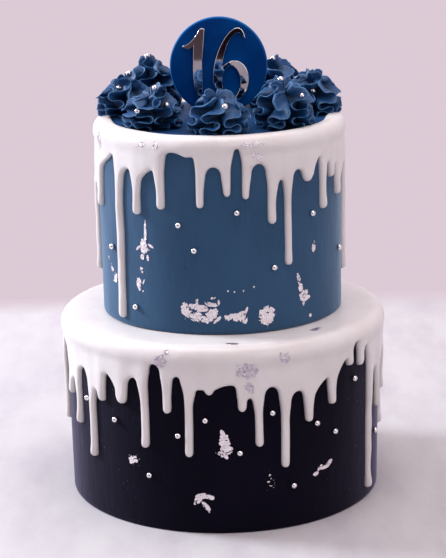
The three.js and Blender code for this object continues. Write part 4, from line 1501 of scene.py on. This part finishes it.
@dataclass
class Topper:
    """The round disc that stands on the cake, and its two numerals."""

    x: float = 0.5
    y: float = 14
    centre: float = 285.4
    radius: float = 32.7
    depth: float = 4.5
    bevel: float = 1.7
    sides: int = 160
    lean: float = 1.8  # how far the disc leans forward, in degrees
    numeral_depth: float = 1.6
    numeral_bevel: float = 0.3
    gap: float = 0.35  # between a numeral and the disc's face
    face_shares: tuple[float, ...] = (0.3, 0.6, 0.85, 0.97)
    edge_points: int = 13

    def tilted(self, points: Array) -> Array:
        """Leans points of the upright topper forward about the disc's middle."""
        lean = math.radians(self.lean)
        y, z = points[..., 1] - self.y, points[..., 2] - self.centre
        return np.stack((points[..., 0], self.y + y * math.cos(lean) - z * math.sin(lean),
                         self.centre + z * math.cos(lean) + y * math.sin(lean)), -1)

    def build_disc(self) -> Object:
        """Returns the disc, with rounded edges."""
        bearings = np.linspace(0, 360, self.sides, endpoint=False)
        face = self.depth / 2
        profile = [(share * (self.radius - self.bevel), -face) for share in self.face_shares]
        for turn in np.radians(np.linspace(0, 180, self.edge_points)):
            flat = face - self.bevel if turn > math.pi / 2 else self.bevel - face
            profile.append((self.radius - self.bevel + self.bevel * math.sin(turn),
                            flat - self.bevel * math.cos(turn)))
        profile += [(reach, -depth) for reach, depth in profile[3::-1]]
        rings = []
        for reach, y in profile:
            x, z, _ = around(bearings, reach, 0).T
            rings.append(np.stack((self.x + x, np.full_like(x, self.y + y), self.centre + z), 1))
        builder = MeshBuilder()
        builder.stack(rings, *(np.array((self.x, self.y + y, self.centre)) for y in (-face, face)))
        builder.points = [self.tilted(points) for points in builder.points]
        # How far into the rounded edge each ring lies: the disc's finish paints a highlight there
        near = [max((reach - self.radius) / self.bevel + 1, 0) for reach, _ in profile]
        near = np.concatenate((np.repeat(near, self.sides), (0.0, 0.0)))
        return builder.make("topper_disc_smooth", DiscFinish().make(), values={"edge": near})

    def numeral(self, name: str, outlines: Outlines, material: Material) -> Object:
        """Cuts one numeral out of sheet with soft edges and stands it just off the disc's face.

        Args:
            name: The piece's name.
            outlines: Its closed outlines.
            material: The finish.

        Returns:
            The numeral.
        """
        curve = bpy.data.curves.new(name, "CURVE")
        curve.dimensions = "2D"
        curve.fill_mode = "BOTH"
        curve.resolution_u = 16
        curve.extrude = (self.numeral_depth / 2 - self.numeral_bevel) * MM
        curve.bevel_depth = self.numeral_bevel * MM
        curve.bevel_resolution = 2
        curve.offset = -self.numeral_bevel * MM
        for outline in outlines:
            spline = curve.splines.new("BEZIER")
            spline.use_cyclic_u = True
            spline.bezier_points.add(len(outline) - 1)
            for point, places in zip(spline.bezier_points, outline):
                point.handle_left, point.co, point.handle_right = (
                    (x * MM, y * MM, 0) for x, y in places)
        drawn = add_object(f"{name}_curve", curve)
        bpy.context.view_layer.update()
        graph = bpy.context.evaluated_depsgraph_get()
        mesh = bpy.data.meshes.new_from_object(drawn.evaluated_get(graph))
        bpy.data.objects.remove(drawn)
        middle = self.y - self.depth / 2 - self.gap - self.numeral_depth / 2
        for vertex in mesh.vertices:
            x, z, y = np.array(vertex.co) / MM
            vertex.co = self.tilted(np.array((x + self.x, middle - y, z + self.centre))) * MM
        mesh.materials.clear()
        mesh.materials.append(material)
        return add_object(name, mesh)


class Pen:
    """Draws a closed outline of curved and straight strokes, one point after another."""

    def __init__(self, x: float, y: float) -> None:
        """Starts at a point."""
        self.points = [[(x, y), (x, y), (x, y)]]

    def curve(self, a: Sequence[float], b: Sequence[float], end: Sequence[float]) -> "Pen":
        """Draws a curve with two control points."""
        self.points[-1][2] = tuple(a)
        self.points.append([tuple(b), tuple(end), tuple(end)])
        return self

    def bend(self, control: Sequence[float], end: Sequence[float]) -> "Pen":
        """Draws a curve with one control point."""
        start = np.array(self.points[-1][1])
        control, finish = np.array(control), np.array(end)
        return self.curve(start + (control - start) * 2 / 3, finish + (control - finish) * 2 / 3,
                          finish)

    def line(self, end: Sequence[float]) -> "Pen":
        """Draws a straight stroke."""
        start = np.array(self.points[-1][1])
        finish = np.array(end)
        return self.curve(start + (finish - start) / 3, start + (finish - start) * 2 / 3, finish)

    def close(self) -> list[list[Pair]]:
        """Returns the outline, ending where it began if the last stroke comes back there."""
        first, last = self.points[0], self.points[-1]
        if np.allclose(first[1], last[1]):
            first[0] = last[0]
            self.points.pop()
        return self.points


def numeral_one() -> Outlines:
    """Returns the outline of the left numeral, about the disc's centre."""
    pen = Pen(-9, 25).bend((-12, 26), (-13, 24)).bend((-17, 16), (-23.5, 13.6))
    pen.bend((-20.5, 9.5), (-16.6, 13.9)).line((-17.2, -2)).bend((-17, -17), (-13.4, -23))
    return [pen.bend((-11, -21), (-11, -16)).line((-11, 3)).line((-9, 25)).close()]


def numeral_six() -> Outlines:
    """Returns the outlines of the right numeral and its bowl, about the disc's centre."""
    pen = Pen(18, 18.8).curve((17.2, 23), (15.6, 25.4), (13, 25.4))
    pen.curve((6, 25.4), (-4, 8), (-4, -9)).curve((-4, -18), (1, -24.5), (8, -24.5))
    pen.curve((15, -24.5), (20, -17), (20, -9)).curve((20, -1.5), (16, 3.6), (10.7, 3.6))
    pen.curve((7, 3.6), (3.8, 1.4), (2, -1.4)).curve((3, 8), (7.5, 22), (13.5, 22))
    pen.curve((15.3, 22), (16.5, 20.5), (17.2, 18.6)).line((18, 18.8))
    x, y, across, upright = 8.3, -10.6, 6.1, 10.6
    pull = 4 / 3 * (math.sqrt(2) - 1)
    bowl = []
    for cx, cy in ((1, 0), (0, 1), (-1, 0), (0, -1)):
        handles = [(cx + side * cy * pull, cy - side * cx * pull) for side in (1, -1)]
        bowl.append([(x + across * px, y + upright * py)
                     for px, py in (handles[0], (cx, cy), handles[1])])
    return [pen.close(), bowl]


@dataclass
class SilverPearls:
    """Sugar pearls pressed into the icing."""

    radius: float = 2.0
    sink: float = 0.7
    columns: int = 28
    rows: int = 18
    centres: list[Array] = field(default_factory=list)

    def press(self, where: Vector, outward: Vector) -> None:
        """Presses one pearl into a surface, at a place in metres."""
        self.centres.append(np.array(where) / MM + np.array(outward) * (self.radius - self.sink))

    def press_side(self, tier: TierSizes, bearing: float, height: float) -> None:
        """Presses one pearl into the side of a tier."""
        z = tier.foot + height
        self.press(Vector(around(bearing, tier.radius(z), z) * MM), Vector(around(bearing, 1, 0)))

    def build(self) -> Object:
        """Returns all the pearls as one piece."""
        builder = MeshBuilder()
        bearings = np.linspace(0, 360, self.columns, endpoint=False)
        for centre in self.centres:
            rings = [centre + around(bearings, self.radius * math.cos(turn),
                                     self.radius * math.sin(turn))
                     for turn in np.radians(np.linspace(-90, 90, self.rows + 1)[1:-1])]
            builder.stack(rings, centre - (0, 0, self.radius), centre + (0, 0, self.radius))
        finish = SilverFinish("pearl_silver", (0.86, 0.84, 0.84), 1.0, 0.07, 0.004)
        return builder.make("silver_pearls", finish.make())


@dataclass
class SilverLeaf:
    """Torn flakes of edible leaf that follow what they lie on."""

    cell: float = 0.34  # size of the small faces that a flake is made of
    lift: float = 0.1
    crumple: float = 0.42
    sink: float = 0.25  # how deep a flake's underside reaches into what carries it
    torn: tuple[Ripples, ...] = (Ripples(0.6, 2.9), Ripples(0.36, 1.1, 3), Ripples(0.22, 0.6, 7))
    tear_width: float = 0.1  # of the tears inside it, as a share of the noise
    specks: float = 0.95  # size of the specks round it
    creases: Pair = (1.2, 0.5)  # their sizes
    side_radius: float = 95.0  # a patch on a side is bent round this radius
    cast_radius: float = 150.0  # and cast from here
    cast_height: float = 400.0  # or on a top from here
    builder: MeshBuilder = field(default_factory=MeshBuilder)
    # share of painted darker reflection at each point
    reflection_shades: list[float] = field(default_factory=list)

    def reflection_shade(self, share: float) -> None:
        """Says how much painted darker reflection the points that were added last get."""
        self.reflection_shades += [share] * (self.builder.count - len(self.reflection_shades))

    def lay(self, patch: LeafPatch, target: BVHTree, seed: float) -> None:
        """Lays one patch on a surface.

        Args:
            patch: The patch.
            target: The surface, in metres.
            seed: Makes the torn outline its own.
        """
        reaches = (0.9 * patch.width + 1, 0.9 * patch.height + 1)
        xs, ys = (np.arange(-reach, reach, self.cell) for reach in reaches)
        grid = np.stack(np.meshgrid(xs, ys), -1)
        solid = self.solidity(grid.reshape(-1, 2), patch, seed).reshape(grid.shape[:2])
        some = solid > 0
        some = some[1:, 1:] | some[:-1, 1:] | some[1:, :-1] | some[:-1, :-1]
        places: dict[Key, Array] = {}
        outlines = []
        for row, col in np.argwhere(some):
            corners = ((row, col), (row, col + 1), (row + 1, col + 1), (row + 1, col))
            for three in (corners[:3], (corners[0], *corners[2:])):
                outline = self.torn_face(three, grid, solid, places)
                if len(outline) > 2:
                    outlines.append(outline)
        self.wrap_up(outlines, places, patch, target, seed)

    def solidity(self, flat: Array, patch: LeafPatch, seed: float) -> Array:
        """Says where the patch has leaf: above 0 there is some."""
        away = np.hypot(flat[:, 0] / (patch.width / 2), flat[:, 1] / (patch.height / 2))
        points = np.column_stack((flat, np.full(len(flat), 7.3 * seed)))
        torn = sum(layer.at(points, seed) for layer in self.torn)
        open_here = smoothstep(unevenness(points, 4.5, seed + 12), -0.12, 0.12)
        tears = open_here * np.exp(-(unevenness(points, 3.4, seed + 9) / self.tear_width) ** 2)
        dust = unevenness(points, self.specks, seed + 6) - 0.36 - 0.2 * away ** 1.5
        return np.maximum(patch.body - 0.6 * away ** 2.6 + 0.95 * torn - 1.2 * tears, dust)

    def torn_face(self, three: Sequence[Key], grid: Array, solid: Array,
                  places: dict[Key, Array]) -> list[Key]:
        """Cuts the part that is leaf out of one small triangle.

        Args:
            three: Grid places of its corners.
            grid: Flat places.
            solid: How solid the leaf is at each place.
            places: Takes each new corner's flat place by its key.

        Returns:
            Keys of the corners of what is left, if anything.
        """
        outline = []
        for i, at in enumerate(three):
            after = three[(i + 1) % 3]
            here, there = solid[at], solid[after]
            if here > 0:
                outline.append(at)
                places[at] = grid[at]
            if (here > 0) != (there > 0):
                key = (*min(at, after), *max(at, after))
                outline.append(key)
                places[key] = grid[at] + (grid[after] - grid[at]) * here / (here - there)
        return outline

    def wrap_up(self, outlines: list[list[Key]], places: dict[Key, Array], patch: LeafPatch,
                target: BVHTree, seed: float) -> None:
        """Drops a patch onto the surface and gives it an underside and a rim.

        Args:
            outlines: Keys of the corners of each face.
            places: Flat place of each key.
            patch: The patch.
            target: The surface.
            seed: Seeds the creases.
        """
        turn = math.radians(patch.tilt)
        spin = np.array(((math.cos(turn), math.sin(turn)), (-math.sin(turn), math.cos(turn))))
        dropped = {k: self.drop(flat @ spin, patch, target, seed) for k, flat in places.items()}
        found = [key for key, pair in dropped.items() if pair is not None]
        if not found:
            return
        upper, lower = (
            dict(zip(found, self.builder.add(np.array([dropped[key][side] for key in found]))))
            for side in (0, 1))
        faces = [face for face in outlines if all(key in upper for key in face)]
        edges = {(a, b) for face in faces for a, b in zip(face, (*face[1:], face[0]))}
        for face in faces:
            self.builder.faces.append(tuple(int(upper[key]) for key in face))
            self.builder.faces.append(tuple(int(lower[key]) for key in reversed(face)))
        for a, b in sorted(edges):
            if (b, a) not in edges:
                four = upper[b], upper[a], lower[a], lower[b]
                self.builder.faces.append(tuple(map(int, four)))

    def drop(self, flat: Array, patch: LeafPatch, target: BVHTree,
             seed: float) -> tuple[Array, Array] | None:
        """Casts a flat place of the patch onto the surface.

        Args:
            flat: Place from the patch's middle.
            patch: The patch.
            target: The surface.
            seed: Seeds the creases.

        Returns:
            The points above and below the surface, or None where there is nothing.
        """
        place = patch.place + flat[1]
        radius = place if patch.on_top else self.side_radius
        bearing = patch.bearing + math.degrees(flat[0] / radius)
        if patch.on_top:
            start, inward = around(bearing, place, self.cast_height), (0, 0, -1)
        else:
            start, inward = around(bearing, self.cast_radius, place), -around(bearing, 1, 0)
        hit, normal, _, _ = target.ray_cast(Vector(start * MM), Vector(inward))
        if hit is None:
            return None
        crease, fine = (noise.noise(Vector((flat[0] / size, flat[1] / size, shifted)))
                        for size, shifted in zip(self.creases, (seed, seed + 4)))
        raised = self.lift + self.crumple * abs(crease) + 0.3 * self.crumple * abs(fine)
        point, out = np.array(hit) / MM, np.array(normal)
        return point + out * raised, point - out * self.sink

    def build(self) -> Object:
        """Returns all the leaf as one piece."""
        # The leaf on the ganache gets a painted darker reflection
        finish = SilverFinish("leaf_silver", (0.93, 0.88, 0.90), 0.9, 0.3, 0.12,
                              painted_dark_reflection=(0.40, 0.34, 0.42))
        return self.builder.make("silver_leaf", finish.make(), smooth=False,
                                 values={"reflection_shade": np.array(self.reflection_shades)})


@dataclass
class DripCake:
    """The whole cake, built from the bottom up."""

    camera: PhotoCamera
    # Pearls that show on the swirls, as pixels of the photograph
    swirl_pearls: tuple[Pair, ...] = (
        (147.2, 56.2), (128.6, 73.4), (119.5, 88), (155, 88), (166.4, 105.4), (137.8, 111.3),
        (225, 106.8), (272.6, 58.4), (280.5, 79.4), (302, 96), (313, 90.7),
    )
    # Pearls on the far side of the swirls: index of the swirl, bearing and height on it
    hidden_pearls: tuple[tuple[int, float, float], ...] = ((4, 150, 17), (4, 200, 24), (6, 140, 16))
    back_pearls: BackPlaces = BackPlaces(8, 98, 20, (42, 78), 8)
    back_leaf: BackPlaces = BackPlaces(3, 115, 50, (12, 28), 12)
    back_widths: Pair = (6, 13)
    back_slenderness: Pair = (0.5, 1)
    back_tilts: Pair = (-40, 40)
    # A pearl is tried at its pixel and beside it, and rests where it meets the near folds
    nudges: tuple[Pair, ...] = ((0, 0), (2, 0), (-2, 0), (0, 2), (0, -2))
    sunk: float = 0.5  # how far behind the fold its middle lies, in radii
    swirls: list[str] = field(default_factory=list)
    trees: dict[str, BVHTree] = field(default_factory=dict)
    side_pearls: list[tuple[TierSizes, float, float]] = field(default_factory=list)
    back_patches: list[tuple[LeafPatch, ...]] = field(default_factory=list)

    def remember(self, piece: Object) -> Object:
        """Keeps a piece's surface, so that leaf and pearls can lie on it."""
        mesh = piece.data
        self.trees[piece.name] = BVHTree.FromPolygons(
            [v.co.copy() for v in mesh.vertices], [tuple(p.vertices) for p in mesh.polygons])
        return piece

    def build_tiers(self) -> None:
        """Builds the icing of both tiers."""
        navy = SmoothIcing("navy_icing", (0.0011, 0.0007, 0.0046), (0.0030, 0.0022, 0.0098), 0.12,
                           shine=0.05, velvet=0.38, bloom=(0.68, 0.66, 1.0), roughness=0.62)
        slate = SmoothIcing("slate_icing", (0.0142, 0.059, 0.127), (0.0240, 0.084, 0.172), 0.03,
                            shine=0.3, velvet=0.5, bloom=(0.56, 0.80, 1.0), roughness=0.62)
        # A darker, bluer copy of the slate icing for the top: painted shade, as the swirls shade
        # the top
        shaded_slate_top = SmoothIcing("slate_icing_top_painted_shade", (0.0075, 0.038, 0.115), (0.011, 0.05, 0.14),
                                0.03, shine=0.1, velvet=0.0)
        lower = self.remember(IcedTier("lower_icing", LOWER_TIER, navy, 1.3).build())
        upper = self.remember(IcedTier("upper_icing", UPPER_TIER, slate, 4.1,
                                       shoulder=(5.6, 7.0), top_finish=shaded_slate_top).build())
        settle(lower, ["lower_tier"])
        settle(upper, ["upper_tier"])

    def build_ganache(self) -> None:
        """Builds the poured layers over both rims."""
        material = PouredGanache().make()
        lower_back = BackDrips(103, 268, 16, (30, 92), (88, 108), 7).draw(Drip.width)
        upper_back = BackDrips(101, 268, 13, (28, 92), (98, 116), 19).draw(Drip.width)
        lower = DripSheet("lower_ganache_poured", LOWER_TIER,
                          [Drip(*row) for row in LOWER_FRONT_DRIPS] + lower_back,
                          LOWER_WAVES, top=125, rim_radius=110.8, rim_out=10, rim_down=12,
                          open_height=7.5, depth=3.1, ring=False)
        upper = DripSheet("upper_ganache_poured", UPPER_TIER,
                          [Drip(*row) for row in UPPER_FRONT_DRIPS] + upper_back,
                          UPPER_WAVES, top=254.4, rim_radius=84.2, rim_out=7.8, rim_down=11.5,
                          open_height=6.5, depth=3.0, ring=True)
        for sheet, node in ((lower, "lower_ganache"), (upper, "upper_ganache")):
            settle(self.remember(sheet.build(material)), [node])
        for sheet, seed in ((lower, 3), (upper, 5)):
            self.scatter_back(sheet, DrawnRandom(seed))

    def scatter_back(self, sheet: DripSheet, random: DrawnRandom) -> None:
        """Draws the pearls and the leaf on the unseen back of a tier, as the solids do."""
        for bearing, height in self.back_pearls.draw(sheet, random):
            self.side_pearls.append((sheet.tier, bearing, height))
        patches = []
        for bearing, height in self.back_leaf.draw(sheet, random):
            width = random.between(*self.back_widths)
            tall = width * random.between(*self.back_slenderness)
            tilt = random.between(*self.back_tilts)
            patches.append(LeafPatch(bearing, sheet.tier.foot + height, width, tall, tilt, 0.6))
        self.back_patches.append(tuple(patches))

    def build_swirls(self) -> None:
        """Builds the piped swirls."""
        material = PipedIcing().make()
        for swirl in (PipedSwirl(*row) for row in SWIRLS):
            piece = self.remember(swirl.build(material))
            settle(piece, [swirl.name])
            self.swirls.append(piece.name)

    def build_topper(self) -> None:
        """Builds the disc and its numerals."""
        topper = Topper()
        settle(topper.build_disc(), ["topper_disc"])
        silver = SilverFinish("mirror_silver", (0.84, 0.82, 0.84), 1.0, 0.03, 0.0006).make()
        for name, outlines in (("topper_numeral_one", numeral_one()),
                               ("topper_numeral_six", numeral_six())):
            settle(topper.numeral(f"{name}_cut", outlines, silver), [name])

    def build_pearls(self) -> None:
        """Presses pearls into the tiers and the swirls."""
        pearls = SilverPearls()
        front = [(tier, *place) for tier, places in (
            (LOWER_TIER, LOWER_PEARLS), (UPPER_TIER, UPPER_PEARLS)) for place in places]
        for tier, bearing, height in front + self.side_pearls:
            pearls.press_side(tier, bearing, height)
        for x, y in self.swirl_pearls:
            self.press_in_view(pearls, x, y)
        for index, bearing, height in self.hidden_pearls:
            _, x, y, *_ = SWIRLS[index]
            outward = Vector(around(bearing, 1, 0))
            start = Vector((x, y, UPPER_TIER.top + height)) * MM + outward * 0.05
            where, normal, _, _ = self.trees[self.swirls[index]].ray_cast(start, -outward)
            if where is not None:
                pearls.press(where, (normal + outward).normalized())
        settle(pearls.build(), ["lower_tier", "upper_tier"])

    def press_in_view(self, pearls: SilverPearls, x: float, y: float) -> None:
        """Rests a pearl on the folds of a swirl, where the photograph shows it.

        Args:
            pearls: Takes the pearl.
            x: The pearl's place in the photograph, from the left.
            y: The same from the top.
        """
        start, direction = self.camera.ray(x, y)
        near = []
        for dx, dy in self.nudges:
            _, aimed = self.camera.ray(x + dx, y + dy)
            hits = [self.trees[name].ray_cast(start, aimed) for name in self.swirls]
            near += [hit[3] / MM for hit in hits if hit[0] is not None]
        if near:
            near.sort()
            reach = near[0] + 0.5 * min(near[min(2, len(near) - 1)] - near[0], 1.5)
            pearls.centres.append(np.array(start + direction * reach * MM) / MM
                                  + self.sunk * pearls.radius * np.array(direction))

    def build_leaf(self) -> None:
        """Lays the leaf on the tiers and the ganache."""
        leaf = SilverLeaf()
        lower_back, upper_back = self.back_patches
        # The last column is the share of painted darker reflection on each bed's leaf
        beds = (
            ("lower_icing", LOWER_TIER_LEAF + lower_back, 0.0),
            ("upper_icing", UPPER_TIER_LEAF + upper_back, 0.0),
            ("lower_ganache_poured", LOWER_GANACHE_LEAF, 0.85),
            ("upper_ganache_poured", UPPER_GANACHE_LEAF, 0.5),
        )
        seed = 1.0
        for bed, patches, painted_dark_reflection in beds:
            for patch in patches:
                leaf.lay(patch, self.trees[bed], seed)
                leaf.reflection_shade(painted_dark_reflection)
                seed += 1.37
        settle(leaf.build(), ["lower_tier", "upper_tier"])

    def build(self) -> None:
        """Builds every piece."""
        self.build_tiers()
        self.build_ganache()
        self.build_swirls()
        self.build_topper()
        self.build_pearls()
        self.build_leaf()


def main() -> None:
    """Builds the studio and the cake."""
    logging.basicConfig(level=logging.INFO, format="%(message)s")
    camera = PhotoCamera()
    camera.build()
    Studio().build()
    DripCake(camera).build()


if __name__ == "__main__":
    main()
